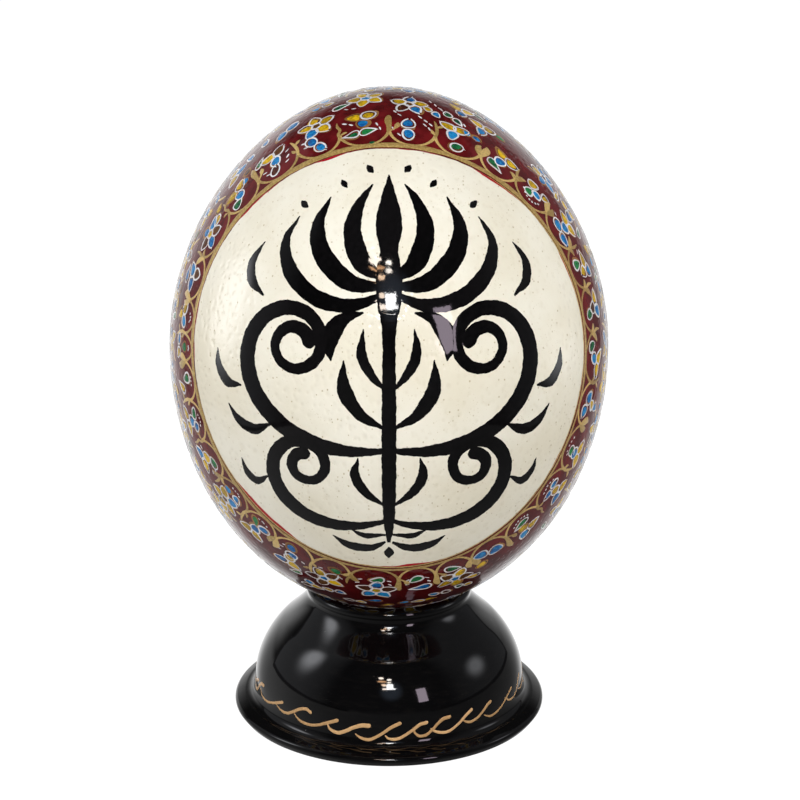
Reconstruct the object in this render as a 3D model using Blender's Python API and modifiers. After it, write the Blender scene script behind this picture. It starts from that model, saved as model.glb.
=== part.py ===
"""A painted ostrich egg standing upright in a turned, lacquered stand.

Two pieces: the egg, which is one closed solid, and the stand, turned in one
piece with a shallow seat that follows the egg's lower end. Metres, +Z up. The
origin is the middle of the stand's flat underside, and the front faces -Y.
"""

import math

import bpy

MM = 0.001

# Egg: a real ostrich egg is about 130 mm across and 155 to 160 mm long.
EGG_RADIUS = 65.0 * MM
EGG_UPPER_HALF = 77.7 * MM
EGG_LOWER_HALF = 79.8 * MM
EGG_CROWN_TAPER = 0.078
EGG_BELT_HEIGHT = 115.2 * MM
EGG_RINGS = 34

# Stand, from the seat in its top down to the foot it stands on.
SEAT_GAP = 0.3 * MM
SEAT_RADIUS = 22.3 * MM
SEAT_RINGS = 5
LIP_CENTRE = (23.65 * MM, 38.35 * MM)
LIP_RADIUS = 1.6 * MM
LIP_START_ANGLE = 100.0
LIP_END_ANGLE = -38.0
LIP_POINTS = 6
COVE_TOP = (24.9 * MM, 36.6 * MM)
COVE_PULL_DOWN = (24.8 * MM, 35.0 * MM)
SHOULDER = (32.2 * MM, 28.0 * MM)
SHOULDER_SLOPE = 41.0
SHOULDER_PULL = 5.2 * MM
DOME_FOOT = (41.3 * MM, 8.6 * MM)
DOME_FOOT_PULL = 8.6 * MM
FILLET_RADIUS = 3.4 * MM
FILLET_PULL = 0.3
FLANGE_RADIUS = 47.7 * MM
FLANGE_ROOT_HEIGHT = 4.0 * MM
FLANGE_EDGE_HEIGHT = 3.1 * MM
FLANGE_ROUNDING = 1.3 * MM
FLANGE_START_ANGLE = 80.0
FLANGE_END_ANGLE = -10.0
FOOT_CHAMFER = 1.1 * MM
COVE_POINTS = 6
DOME_POINTS = 8
FILLET_POINTS = 4
EDGE_POINTS = 4

TURN_STEPS = 60
MERGE_DISTANCE = 0.00002

# name: (red, green, blue), roughness, metallic, coat
IVORY_SHELL = ("egg_shell", (0.78, 0.74, 0.62), 0.22, 0.0, 0.8)
BLACK_LACQUER = ("black_lacquer", (0.006, 0.006, 0.007), 0.12, 0.0, 1.0)


def clear_scene():
    """Remove every object that the file opened with."""
    for obj in list(bpy.data.objects):
        bpy.data.objects.remove(obj, do_unlink=True)


def make_collection(name):
    """Return a new collection linked to the scene."""
    collection = bpy.data.collections.new(name)
    bpy.context.scene.collection.children.link(collection)
    return collection


def make_material(name, colour, roughness, metallic, coat):
    """Return a Principled material."""
    material = bpy.data.materials.new(name)
    material.use_nodes = True
    shader = material.node_tree.nodes["Principled BSDF"]
    shader.inputs["Base Color"].default_value = (*colour, 1.0)
    shader.inputs["Roughness"].default_value = roughness
    shader.inputs["Metallic"].default_value = metallic
    shader.inputs["Coat Weight"].default_value = coat
    material.diffuse_color = (*colour, 1.0)
    return material


def egg_point(turn):
    """Point of the egg's outline, with turn 0 at the crown and pi at the lower end."""
    rise = math.cos(turn)
    half = EGG_UPPER_HALF if rise > 0.0 else EGG_LOWER_HALF
    taper = EGG_CROWN_TAPER if rise > 0.0 else 0.0
    radius = EGG_RADIUS * math.sin(turn) * (1.0 - taper * rise * rise)
    return radius, EGG_BELT_HEIGHT + half * rise


def egg_outline():
    """Outline of the egg from its crown to its lower end, both on the axis."""
    outline = [egg_point(math.pi * step / EGG_RINGS) for step in range(EGG_RINGS + 1)]
    outline[0] = (0.0, outline[0][1])
    outline[-1] = (0.0, outline[-1][1])
    return outline


def seat_outline():
    """Seat in the stand's top: the egg's lower end, moved out by the gap."""
    outline = []
    for step in range(SEAT_RINGS + 1):
        radius = SEAT_RADIUS * step / SEAT_RINGS
        drop = math.sqrt(1.0 - (radius / EGG_RADIUS) ** 2)
        egg_height = EGG_BELT_HEIGHT - EGG_LOWER_HALF * drop
        slope = EGG_LOWER_HALF * radius / (EGG_RADIUS**2 * drop)
        outline.append((radius, egg_height - SEAT_GAP * math.hypot(1.0, slope)))
    return outline


def arc(centre, radius, start, end, points):
    """Points along an arc, with its angles in degrees."""
    outline = []
    for step in range(points):
        angle = math.radians(start + (end - start) * step / (points - 1))
        outline.append((centre[0] + radius * math.cos(angle), centre[1] + radius * math.sin(angle)))
    return outline


def curve(start, pull_start, pull_end, end, points):
    """Points along a cubic curve between two ends, each with its pull point."""
    outline = []
    for step in range(points + 1):
        along = step / points
        back = 1.0 - along
        weights = (back**3, 3.0 * back**2 * along, 3.0 * back * along**2, along**3)
        corners = (start, pull_start, pull_end, end)
        radius = sum(weight * corner[0] for weight, corner in zip(weights, corners))
        height = sum(weight * corner[1] for weight, corner in zip(weights, corners))
        outline.append((radius, height))
    return outline


def dome_outline():
    """Outer side below the lip: a hollow cove that swells into a round dome."""
    run = math.cos(math.radians(SHOULDER_SLOPE)) * SHOULDER_PULL
    fall = math.sin(math.radians(SHOULDER_SLOPE)) * SHOULDER_PULL
    cove_end = (SHOULDER[0] - run, SHOULDER[1] + fall)
    dome_start = (SHOULDER[0] + run, SHOULDER[1] - fall)
    dome_end = (DOME_FOOT[0], DOME_FOOT[1] + DOME_FOOT_PULL)
    cove = curve(COVE_TOP, COVE_PULL_DOWN, cove_end, SHOULDER, COVE_POINTS)
    dome = curve(SHOULDER, dome_start, dome_end, DOME_FOOT, DOME_POINTS)
    return cove + dome[1:]


def flange_outline():
    """Foot of the stand: a fillet, a thin flange with a rounded edge, a flat underside."""
    root = (DOME_FOOT[0] + FILLET_RADIUS, FLANGE_ROOT_HEIGHT)
    pull_down = (DOME_FOOT[0], DOME_FOOT[1] - FILLET_RADIUS)
    pull_in = (DOME_FOOT[0] + FILLET_PULL * FILLET_RADIUS, root[1])
    fillet = curve(DOME_FOOT, pull_down, pull_in, root, FILLET_POINTS)
    edge_centre = (FLANGE_RADIUS - FLANGE_ROUNDING, FLANGE_EDGE_HEIGHT - FLANGE_ROUNDING)
    edge = arc(edge_centre, FLANGE_ROUNDING, FLANGE_START_ANGLE, FLANGE_END_ANGLE, EDGE_POINTS)
    underside = [(FLANGE_RADIUS - FOOT_CHAMFER, 0.0), (0.0, 0.0)]
    return fillet[1:] + edge + underside


def stand_outline():
    """Outline of the stand, from the middle of its seat round to its underside."""
    lip = arc(LIP_CENTRE, LIP_RADIUS, LIP_START_ANGLE, LIP_END_ANGLE, LIP_POINTS)
    return seat_outline() + lip + dome_outline() + flange_outline()


def turned(name, outline, material, collection):
    """Turn an outline round the Z axis into one closed, smooth solid."""
    mesh = bpy.data.meshes.new(name)
    points = [(radius, 0.0, height) for radius, height in outline]
    edges = [(index, index + 1) for index in range(len(points) - 1)]
    mesh.from_pydata(points, edges, [])
    mesh.materials.append(material)
    obj = bpy.data.objects.new(name, mesh)
    collection.objects.link(obj)
    screw = obj.modifiers.new("turn", "SCREW")
    screw.axis = "Z"
    screw.angle = math.tau
    screw.steps = TURN_STEPS
    screw.render_steps = TURN_STEPS
    screw.use_merge_vertices = True
    screw.merge_threshold = MERGE_DISTANCE
    screw.use_smooth_shade = True
    return obj


def main():
    """Build the egg and the stand it rests in."""
    clear_scene()
    collection = make_collection("painted_ostrich_egg")
    turned("stand", stand_outline(), make_material(*BLACK_LACQUER), collection)
    turned("egg", egg_outline(), make_material(*IVORY_SHELL), collection)


main()
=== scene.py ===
"""The looks of a painted ostrich egg that stands in its black lacquered stand.

Everything is in metres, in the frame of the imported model: +Z is up and the
ivory panel faces -Y. A fine shell and a fine stand replace the plain solids,
and each paint lies on them as one piece of thin film.
"""

import logging
import math
from collections.abc import Callable, Sequence
from dataclasses import dataclass, field, replace
from enum import Enum

import bmesh
import bpy
import numpy as np
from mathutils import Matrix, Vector


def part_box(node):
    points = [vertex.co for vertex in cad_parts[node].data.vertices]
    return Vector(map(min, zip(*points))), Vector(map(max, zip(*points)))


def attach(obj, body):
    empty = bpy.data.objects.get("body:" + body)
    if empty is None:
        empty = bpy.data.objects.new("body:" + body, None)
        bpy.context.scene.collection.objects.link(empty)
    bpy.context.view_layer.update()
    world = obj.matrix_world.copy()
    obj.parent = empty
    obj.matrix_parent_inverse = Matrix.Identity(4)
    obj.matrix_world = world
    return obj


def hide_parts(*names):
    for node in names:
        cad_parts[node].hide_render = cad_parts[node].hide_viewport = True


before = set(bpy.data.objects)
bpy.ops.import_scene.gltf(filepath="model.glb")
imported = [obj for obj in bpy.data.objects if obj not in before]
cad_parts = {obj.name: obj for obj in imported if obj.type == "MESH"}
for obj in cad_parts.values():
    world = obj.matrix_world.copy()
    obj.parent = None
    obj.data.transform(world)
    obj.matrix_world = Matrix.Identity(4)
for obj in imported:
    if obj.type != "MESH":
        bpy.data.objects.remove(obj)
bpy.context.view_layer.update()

LOG = logging.getLogger("painted_egg")
MM = 0.001
PANEL_TILT = math.radians(12.5)
THINNEST_LINE = 0.12
Colour = tuple[float, float, float]
Pair = tuple[float, float]
Array = np.ndarray


# ---------------------------------------------------------------- shader maths


class Socket:
    """A node's output, on which the arithmetic operators add Math nodes."""

    def __init__(self, shader: "Shader", out: bpy.types.NodeSocket) -> None:
        """Wrap one output of a node that belongs to the shader."""
        self.shader = shader
        self.out = out

    def output(self, number: int) -> "Socket":
        """Return another output of the same node."""
        return Socket(self.shader, self.out.node.outputs[number])

    def _math(self, operation: str, first: "Socket | float", second: "Socket | float") -> "Socket":
        """Return a Math node's output for the two values."""
        return self.shader.node("ShaderNodeMath", {"operation": operation}, {0: first, 1: second})

    def __add__(self, other: "Socket | float") -> "Socket":
        """Return self + other."""
        return self._math("ADD", self, other)

    def __sub__(self, other: "Socket | float") -> "Socket":
        """Return self - other."""
        return self._math("SUBTRACT", self, other)

    def __rsub__(self, other: float) -> "Socket":
        """Return other - self."""
        return self._math("SUBTRACT", other, self)

    def __mul__(self, other: "Socket | float") -> "Socket":
        """Return self * other."""
        return self._math("MULTIPLY", self, other)

    __radd__ = __add__
    __rmul__ = __mul__

    def __pow__(self, other: float) -> "Socket":
        """Return self to a power."""
        return self._math("POWER", self, other)

    def __rpow__(self, other: float) -> "Socket":
        """Return a number to the power of self."""
        return self._math("POWER", other, self)

    def most(self, other: "Socket | float") -> "Socket":
        """Return the larger of two values."""
        return self._math("MAXIMUM", self, other)

    def least(self, other: "Socket | float") -> "Socket":
        """Return the smaller of two values."""
        return self._math("MINIMUM", self, other)

    def ease(self, low: float, high: float) -> "Socket":
        """Return 0 below low, 1 above high and a smooth step between them."""
        settings = {"interpolation_type": "SMOOTHSTEP"}
        return self.shader.node("ShaderNodeMapRange", settings, {0: self, 1: low, 2: high})


class Shader:
    """A node tree with one method that adds nodes, and short names for the usual ones."""

    def __init__(self, tree: bpy.types.NodeTree) -> None:
        """Hold the tree that nodes are added to."""
        self.tree = tree

    def node(
        self, kind: str, settings: dict | None = None, sockets: dict | None = None, out: int = 0
    ) -> Socket | None:
        """Add a node.

        Args:
            kind: the node's type.
            settings: its properties.
            sockets: input name or number to a value or a Socket.
            out: number of the output to return.

        Returns:
            The chosen output, or None from a node that has none.
        """
        made = self.tree.nodes.new(kind)
        for name, value in (settings or {}).items():
            setattr(made, name, value)
        for name, value in (sockets or {}).items():
            if isinstance(value, Socket):
                self.tree.links.new(value.out, made.inputs[name])
            elif isinstance(value, tuple) and made.inputs[name].type == "RGBA":
                made.inputs[name].default_value = (*value, 1.0)
            else:
                made.inputs[name].default_value = value
        return Socket(self, made.outputs[out]) if made.outputs else None

    def place(self, stretch: Colour = (1.0, 1.0, 1.0)) -> Socket:
        """Return the Object coordinates.

        Args:
            stretch: how much they are stretched along each axis.

        Returns:
            The coordinates as a vector.
        """
        coords = self.node("ShaderNodeTexCoord", out=3)
        if stretch == (1.0, 1.0, 1.0):
            return coords
        return self.node("ShaderNodeMapping", None, {"Vector": coords, "Scale": stretch})

    def noise(self, vector: Socket, scale: float, detail: float = 2.0, rough: float = 0.5) -> Socket:
        """Return a noise value between 0 and 1, with scale in waves a metre."""
        sockets = {"Vector": vector, "Scale": scale, "Detail": detail, "Roughness": rough}
        return self.node("ShaderNodeTexNoise", None, sockets)

    def cells(self, vector: Socket, scale: float, settings: dict | None = None) -> Socket:
        """Return the distance to the nearest of many scattered points, with scale in points a metre."""
        return self.node("ShaderNodeTexVoronoi", settings, {"Vector": vector, "Scale": scale})

    def mix(self, factor: Socket | float, first: Socket | Colour, second: Socket | Colour) -> Socket:
        """Return a colour between two others."""
        return self.node("ShaderNodeMix", {"data_type": "RGBA"}, {0: factor, 6: first, 7: second}, out=2)

    def attribute(self, name: str) -> Socket:
        """Return a mesh attribute's value."""
        return self.node("ShaderNodeAttribute", {"attribute_name": name}, out=2)

    def bump(self, height: Socket, depth: float, below: Socket | None = None) -> Socket:
        """Return a roughened normal.

        Args:
            height: the relief, from 0 to 1.
            depth: what 1 stands for, in metres.
            below: the normal that is roughened, where it isn't the surface's own.

        Returns:
            The normal.
        """
        sockets = {"Height": height, "Distance": depth, "Strength": 1.0}
        if below is not None:
            sockets["Normal"] = below
        return self.node("ShaderNodeBump", None, sockets)


def new_material(name: str, links: Callable[[Shader], dict], **even: float) -> bpy.types.Material:
    """Make a material.

    Args:
        name: the material's name.
        links: gives the Principled inputs that vary over the surface, by name.
        even: the inputs that are the same all over, with _ for a space.

    Returns:
        The material.
    """
    material = bpy.data.materials.new(name)
    material.use_nodes = True
    tree = material.node_tree
    principled = tree.nodes["Principled BSDF"]
    for key, value in even.items():
        principled.inputs[key.replace("_", " ").title().replace("Ior", "IOR")].default_value = value
    for key, socket in links(Shader(tree)).items():
        tree.links.new(socket.out, principled.inputs[key])
    return material


# ---------------------------------------------------------------- finishes


@dataclass(frozen=True)
class ShellFinish:
    """Ivory eggshell inside the panel and a crimson ground outside it, under one gloss lacquer."""

    panel_edge: float = -1.25 * MM
    warm_ivory: Colour = (0.80, 0.745, 0.605)
    pale_ivory: Colour = (0.88, 0.84, 0.725)
    speck: Colour = (0.47, 0.375, 0.20)
    deep_crimson: Colour = (0.075, 0.0045, 0.005)
    crimson: Colour = (0.155, 0.0095, 0.0115)
    # Painted shade: the darker crimson that the ground turns to towards the bottom, next to the stand.
    painted_shade_crimson: Colour = (0.032, 0.002, 0.002)
    scarlet: Colour = (0.40, 0.006, 0.015)
    speck_spacing: float = 1.4 * MM
    dimple_spacing: float = 1.8 * MM
    dimple_depth: float = 0.105 * MM
    edge_blur: float = 0.06 * MM

    def build(self) -> bpy.types.Material:
        """Return the material."""
        return new_material("lacquered_shell", self._links, ior=1.5)

    def _links(self, shader: Shader) -> dict[str, Socket]:
        """Return what varies over the shell.

        Args:
            shader: where the nodes are added.

        Returns:
            Sockets by the name of the input they feed.
        """
        place = shader.place()
        ragged = (shader.noise(place, 420.0, 3.0) - 0.5) * (0.5 * MM)
        edge = shader.attribute("beyond_ring") + ragged - self.panel_edge
        ground = edge.ease(-self.edge_blur, self.edge_blur)
        sliver_width = shader.noise(place, 45.0, 2.0).ease(0.42, 0.72) * (1.3 * MM)
        sliver = (edge + sliver_width).ease(-0.05 * MM, 0.05 * MM) * (1.0 - ground)
        ivory, specks, dimples = self._ivory(shader, place)
        painted = shader.mix(ground, ivory, self._crimson(shader, place))
        colour = shader.mix(sliver, painted, self.scarlet)
        roughness = 0.07 - ground * 0.02
        level = 1.0 - ground * 0.6
        normal = shader.bump((dimples - specks * 0.6) * level, self.dimple_depth)
        return {"Base Color": colour, "Roughness": roughness, "Normal": normal}

    def _ivory(self, shader: Shader, place: Socket) -> tuple[Socket, Socket, Socket]:
        """Return the bare eggshell.

        Args:
            shader: where the nodes are added.
            place: the Object coordinates.

        Returns:
            Its colour, its specks and the height of its dimples.
        """
        tall = shader.place((1.0, 1.0, 0.8))
        cloud = shader.noise(place, 38.0, 4.0).ease(0.3, 0.7)
        base = shader.mix(cloud, self.warm_ivory, self.pale_ivory)
        pore = shader.cells(tall, 1.0 / self.speck_spacing)
        chance = shader.node("ShaderNodeSeparateColor", None, {"Color": pore.output(1)})
        size = chance.ease(0.12, 0.95) * 0.17
        frayed = pore + (shader.noise(place, 1400.0, 2.0) - 0.5) * 0.12
        specks = 1.0 - (frayed - size).ease(-0.05, 0.05)
        grain = 1.0 - shader.cells(place, 1.6 / self.speck_spacing).ease(0.04, 0.22)
        grouped = grain * shader.noise(place, 120.0).ease(0.36, 0.7)
        stained = shader.mix(specks * 0.68, base, self.speck)
        freckled = shader.mix(grouped * 0.55, stained, self.speck)
        pits = shader.cells(tall, 1.0 / self.dimple_spacing, {"feature": "SMOOTH_F1"})
        dimples = pits.ease(0.0, 0.5) + shader.noise(place, 260.0, 3.0) * 1.2
        mottled = shader.mix((1.0 - pits.ease(0.0, 0.4)) * 0.11, freckled, self.speck)
        return mottled, specks, dimples

    def _crimson(self, shader: Shader, place: Socket) -> Socket:
        """Return the ground's colour, brushed on unevenly with a few brighter patches, and with painted
        shade that darkens it towards the bottom, next to the stand.

        Args:
            shader: where the nodes are added.
            place: the Object coordinates.

        Returns:
            The colour.
        """
        brushed = shader.noise(shader.place((1.0, 1.0, 0.35)), 240.0, 4.0).ease(0.3, 0.75)
        height = shader.node("ShaderNodeSeparateXYZ", None, {0: place}).output(2)
        upper = shader.mix(brushed, self.deep_crimson, self.crimson)
        # Painted shade: below about 78 mm the ground fades to a darker crimson towards the stand.
        base = shader.mix(height.ease(40.0 * MM, 78.0 * MM) * 0.8 + 0.2, self.painted_shade_crimson, upper)
        patch = shader.noise(place, 34.0, 3.0, 0.6).ease(0.62, 0.78)
        return shader.mix(patch * 0.75, base, self.scarlet)


@dataclass(frozen=True)
class LacquerFinish:
    """Deep black gloss lacquer, brushed on round the turned stand."""

    black: Colour = (0.0022, 0.0021, 0.0024)
    rubbed: Colour = (0.0045, 0.004, 0.004)
    dust: Colour = (0.20, 0.20, 0.19)

    def build(self) -> bpy.types.Material:
        """Return the material."""
        return new_material("black_lacquer", self._links, ior=1.5)

    def _links(self, shader: Shader) -> dict[str, Socket]:
        """Return what varies over the lacquer.

        Args:
            shader: where the nodes are added.

        Returns:
            Sockets by the name of the input they feed.
        """
        place = shader.place()
        rings = shader.noise(shader.place((0.25, 0.25, 1.0)), 900.0, 3.0)
        nibs = 1.0 - shader.cells(place, 260.0).ease(0.02, 0.07)
        brushed = shader.mix(rings.ease(0.45, 0.8), self.black, self.rubbed)
        dusty = nibs * shader.noise(place, 90.0, 1.0).ease(0.52, 0.60)
        colour = shader.mix(dusty, brushed, self.dust)
        ripple = shader.noise(place, 120.0, 2.0)
        lower = shader.bump(ripple, 0.03 * MM)
        normal = shader.bump(rings * 0.5 + nibs, 0.006 * MM, lower)
        return {"Base Color": colour, "Roughness": 0.03 + rings * 0.04, "Normal": normal}


@dataclass(frozen=True)
class PaintFinish:
    """A brushed paint between two tones, with a tone of its own for each dab."""

    name: str
    slot: str
    light: Colour
    dark: Colour
    metallic: float = 0.0
    roughness: float = 0.05
    streaks: float = 1100.0
    depth: float = 0.008 * MM
    coat: float = 0.0
    patchy: float = 1.5
    scuffed: float = 0.08

    def build(self) -> bpy.types.Material:
        """Return the material."""
        return new_material(
            self.name,
            self._links,
            ior=1.5,
            metallic=self.metallic,
            specular_ior_level=0.5 - 0.4 * self.coat,
            coat_weight=self.coat,
            coat_roughness=0.05,
        )

    def _links(self, shader: Shader) -> dict[str, Socket]:
        """Return what varies over the paint.

        Args:
            shader: where the nodes are added.

        Returns:
            Sockets by the name of the input they feed.
        """
        place = shader.place()
        grain = shader.noise(place, self.streaks, 3.0, 0.6)
        tone = shader.attribute("tone")
        darkness = (grain - 0.5) * self.patchy + tone * 0.7 + 0.15
        colour = shader.mix(darkness.ease(0.0, 1.0), self.light, self.dark)
        normal = shader.bump(grain, self.depth)
        return {"Base Color": colour, "Roughness": self.roughness + grain * self.scuffed, "Normal": normal}


class Paint(Enum):
    """The paints of the egg and its stand."""

    GOLD = PaintFinish(
        "gold_paint", "gold_paint", (0.82, 0.58, 0.21), (0.38, 0.245, 0.075),
        metallic=0.3, roughness=0.36, streaks=1600.0, depth=0.012 * MM, coat=1.0,
    )
    FOOT_GOLD = PaintFinish(
        "foot_gold_paint", "gold_paint", (0.72, 0.44, 0.21), (0.50, 0.29, 0.125),
        metallic=0.2, roughness=0.36, streaks=1500.0, depth=0.012 * MM, coat=0.5,
    )
    OCHRE = PaintFinish(
        "ochre_paint", "gold_paint", (0.40, 0.20, 0.065), (0.22, 0.10, 0.035), metallic=0.15, roughness=0.1
    )
    YELLOW = PaintFinish(
        "yellow_enamel", "yellow_paint", (0.80, 0.50, 0.012), (0.33, 0.20, 0.008), patchy=3.0
    )
    BLUE = PaintFinish(
        "blue_enamel", "blue_paint", (0.02, 0.27, 0.60), (0.006, 0.085, 0.29), patchy=3.0
    )
    GREEN = PaintFinish(
        "green_enamel", "green_paint", (0.018, 0.21, 0.055), (0.006, 0.06, 0.03), patchy=3.0
    )
    UMBER = PaintFinish("umber_paint", "crimson_paint", (0.13, 0.055, 0.012), (0.055, 0.008, 0.008))
    WHITE = PaintFinish("white_enamel", "white_paint", (0.86, 0.86, 0.87), (0.62, 0.60, 0.62))
    BLACK = PaintFinish(
        "black_brushwork", "black_paint", (0.0015, 0.0014, 0.0016), (0.005, 0.0045, 0.005),
        roughness=0.03, streaks=800.0, scuffed=0.02,
    )


# ---------------------------------------------------------------- surfaces


@dataclass
class EggSurface:
    """The outer surface of the egg, turned round the Z axis, with a real shell's slight waves."""

    belt_height: float = 115.2 * MM
    crown_taper: float = 0.078
    wave_height: float = 0.012 * MM
    wave_count: int = 7
    samples: int = 2400
    seed: int = 11

    def __post_init__(self) -> None:
        """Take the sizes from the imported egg, and tabulate the outline by its slant from the axis."""
        low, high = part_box("egg")
        self.radius = (high.x - low.x) / 2.0
        self.upper_half = high.z - self.belt_height
        self.lower_half = self.belt_height - low.z
        self.centre = np.array([0.0, 0.0, self.belt_height])
        turn = np.linspace(0.0, math.pi, self.samples)
        rise = np.cos(turn)
        out = self.radius * np.sin(turn) * self.taper(rise)
        up = rise * np.where(rise > 0.0, self.upper_half, self.lower_half)
        self._slant = np.arctan2(out, up)
        self._reach = np.hypot(out, up)
        self._lean = np.arctan2(-np.gradient(up), np.gradient(out))
        rng = np.random.default_rng(self.seed)
        count = self.wave_count
        self._wave_ways = rng.normal(size=(count, 3)) * rng.uniform(7.0, 22.0, (count, 1))
        self._wave_starts = rng.uniform(0.0, math.tau, count)

    def taper(self, rise: Array) -> Array:
        """Return how much of the round outline is left at a height, which is 1 below the belt."""
        return 1.0 - self.crown_taper * np.where(rise > 0.0, rise, 0.0) ** 2

    def waves(self, ways: Array) -> Array:
        """Return the height of the shell's waves along unit directions from its centre."""
        return self.wave_height * np.sin(ways @ self._wave_ways.T + self._wave_starts).sum(-1)

    def at(self, ways: Array, lift: Array | float = 0.0) -> Array:
        """Return points on the surface.

        Args:
            ways: directions from the egg's centre, of any length, as rows.
            lift: height above the surface, in metres.

        Returns:
            World points, as rows.
        """
        ways = ways / np.linalg.norm(ways, axis=-1, keepdims=True)
        flat = np.hypot(ways[..., 0], ways[..., 1])
        slant = np.arctan2(flat, ways[..., 2])
        lean = np.interp(slant, self._slant, self._lean)
        reach = np.interp(slant, self._slant, self._reach) + self.waves(ways)
        round_way = ways[..., :2] / np.maximum(flat, 1e-12)[..., None]
        normal = np.concatenate([round_way * np.sin(lean)[..., None], np.cos(lean)[..., None]], -1)
        return self.centre + ways * reach[..., None] + normal * np.asarray(lift)[..., None]


class PanelChart:
    """Polar places on the egg, round the panel's middle.

    A place is a turn, clockwise from the top, and a reach, which is its distance along the surface.
    """

    STEP = 0.5 * MM
    TURNS = 181
    BENDS = 361

    def __init__(self, surface: EggSurface, tilt: float) -> None:
        """Tabulate the distances along the surface.

        Args:
            surface: the egg's surface.
            tilt: how far the panel looks up, in radians.
        """
        self.surface = surface
        self.axes = np.array(
            [[1.0, 0.0, 0.0], [0.0, math.sin(tilt), math.cos(tilt)], [0.0, -math.cos(tilt), math.sin(tilt)]]
        )
        self._turns = np.linspace(-math.pi, math.pi, self.TURNS)
        self._bends = np.linspace(0.0, math.pi, self.BENDS)
        turns, bends = np.meshgrid(self._turns, self._bends, indexing="ij")
        points = surface.at(self._ways(turns, bends))
        steps = np.linalg.norm(np.diff(points, axis=1), axis=-1)
        self._arcs = np.concatenate([np.zeros((self.TURNS, 1)), np.cumsum(steps, axis=1)], axis=1)
        self.ends = self._arcs[:, -1]
        reaches = np.arange(0.0, self.ends.max() + self.STEP, self.STEP)
        self._table = np.stack([np.interp(reaches, arc, self._bends) for arc in self._arcs])

    def _ways(self, turns: Array, bends: Array) -> Array:
        """Return directions from the egg's centre, turned round the panel's axis and bent away from it."""
        local = np.stack([np.sin(turns) * np.sin(bends), np.cos(turns) * np.sin(bends), np.cos(bends)], -1)
        return local @ self.axes

    @staticmethod
    def _sample(table: Array, rows: Array, columns: Array) -> Array:
        """Read a table between its entries.

        Args:
            table: the table.
            rows: how far down it the values lie.
            columns: how far along it they lie.

        Returns:
            The values.
        """
        row = np.clip(rows.astype(int), 0, table.shape[0] - 2)
        column = np.clip(columns.astype(int), 0, table.shape[1] - 2)
        down, along = np.clip(rows - row, 0.0, 1.0), np.clip(columns - column, 0.0, 1.0)
        upper = table[row, column] * (1.0 - along) + table[row, column + 1] * along
        lower = table[row + 1, column] * (1.0 - along) + table[row + 1, column + 1] * along
        return upper * (1.0 - down) + lower * down

    def ways(self, turn: Array, reach: Array) -> Array:
        """Return directions from the egg's centre.

        Args:
            turn: turns of the places, in radians.
            reach: their reaches, in metres.

        Returns:
            The directions, as rows.
        """
        turn = (np.asarray(turn) + math.pi) % math.tau - math.pi
        rows = (turn + math.pi) / math.tau * (self.TURNS - 1)
        bends = self._sample(self._table, rows, np.asarray(reach) / self.STEP)
        return self._ways(turn, bends)

    def place_of(self, points: Array) -> tuple[Array, Array]:
        """Return where points lie round the panel.

        Args:
            points: world points on the egg, as rows.

        Returns:
            Their turns and their reaches.
        """
        ways = points - self.surface.centre
        local = (ways / np.linalg.norm(ways, axis=-1, keepdims=True)) @ self.axes.T
        turns = np.arctan2(local[..., 0], local[..., 1])
        bends = np.arccos(np.clip(local[..., 2], -1.0, 1.0))
        rows = (turns + math.pi) / math.tau * (self.TURNS - 1)
        return turns, self._sample(self._arcs, rows, bends / math.pi * (self.BENDS - 1))

    def end_at(self, turn: Array) -> Array:
        """Return the reach of the far pole along a turn."""
        return np.interp((np.asarray(turn) + math.pi) % math.tau - math.pi, self._turns, self.ends)

    def wrap(self, flat: Array, lift: Array | float) -> Array:
        """Return flat drawing points, x right and y up from the panel's middle, wrapped on the egg."""
        turn = np.arctan2(flat[..., 0], flat[..., 1])
        return self.surface.at(self.ways(turn, np.hypot(flat[..., 0], flat[..., 1])), lift)


# ---------------------------------------------------------------- shell


def deselect_all() -> None:
    """Leave edit mode and deselect every object."""
    if bpy.context.object is not None and bpy.context.object.mode != "OBJECT":
        bpy.ops.object.mode_set(mode="OBJECT")
    bpy.ops.object.select_all(action="DESELECT")


def primitive(add: Callable, name: str, **options: object) -> bpy.types.Object:
    """Add a primitive with nothing else selected, and enter edit mode on it.

    Args:
        add: the operator that adds it.
        name: the object's name.
        options: the operator's own options.

    Returns:
        The new object, in edit mode with all of it selected.
    """
    deselect_all()
    add(**options)
    obj = bpy.context.object
    obj.name = name
    bpy.ops.object.mode_set(mode="EDIT")
    bpy.ops.mesh.select_all(action="SELECT")
    return obj


def select_where(obj: bpy.types.Object, test: Callable[[Vector], bool]) -> None:
    """Select the vertices of an object in edit mode by their place.

    Args:
        obj: the object.
        test: tells whether a vertex at a place is selected.
    """
    bpy.ops.mesh.select_all(action="DESELECT")
    work = bmesh.from_edit_mesh(obj.data)
    for vert in work.verts:
        vert.select_set(test(vert.co))
    work.select_flush_mode()
    bmesh.update_edit_mesh(obj.data)


def finish_piece(obj: bpy.types.Object, material: bpy.types.Material, slot: str, angle: float) -> None:
    """Leave edit mode, put the object's place in its mesh, shade it, and give it its material and body.

    Args:
        obj: the piece.
        material: its finish.
        slot: the record's material slot; not used.
        angle: edges sharper than this many degrees stay sharp.
    """
    deselect_all()
    obj.select_set(True)
    bpy.context.view_layer.objects.active = obj
    bpy.ops.object.transform_apply(location=True, rotation=True, scale=True)
    bpy.ops.object.shade_smooth_by_angle(angle=math.radians(angle))
    obj.data.materials.clear()
    obj.data.materials.append(material)
    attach(obj, "root")
    LOG.info("%s: %d faces", obj.name, len(obj.data.polygons))


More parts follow.
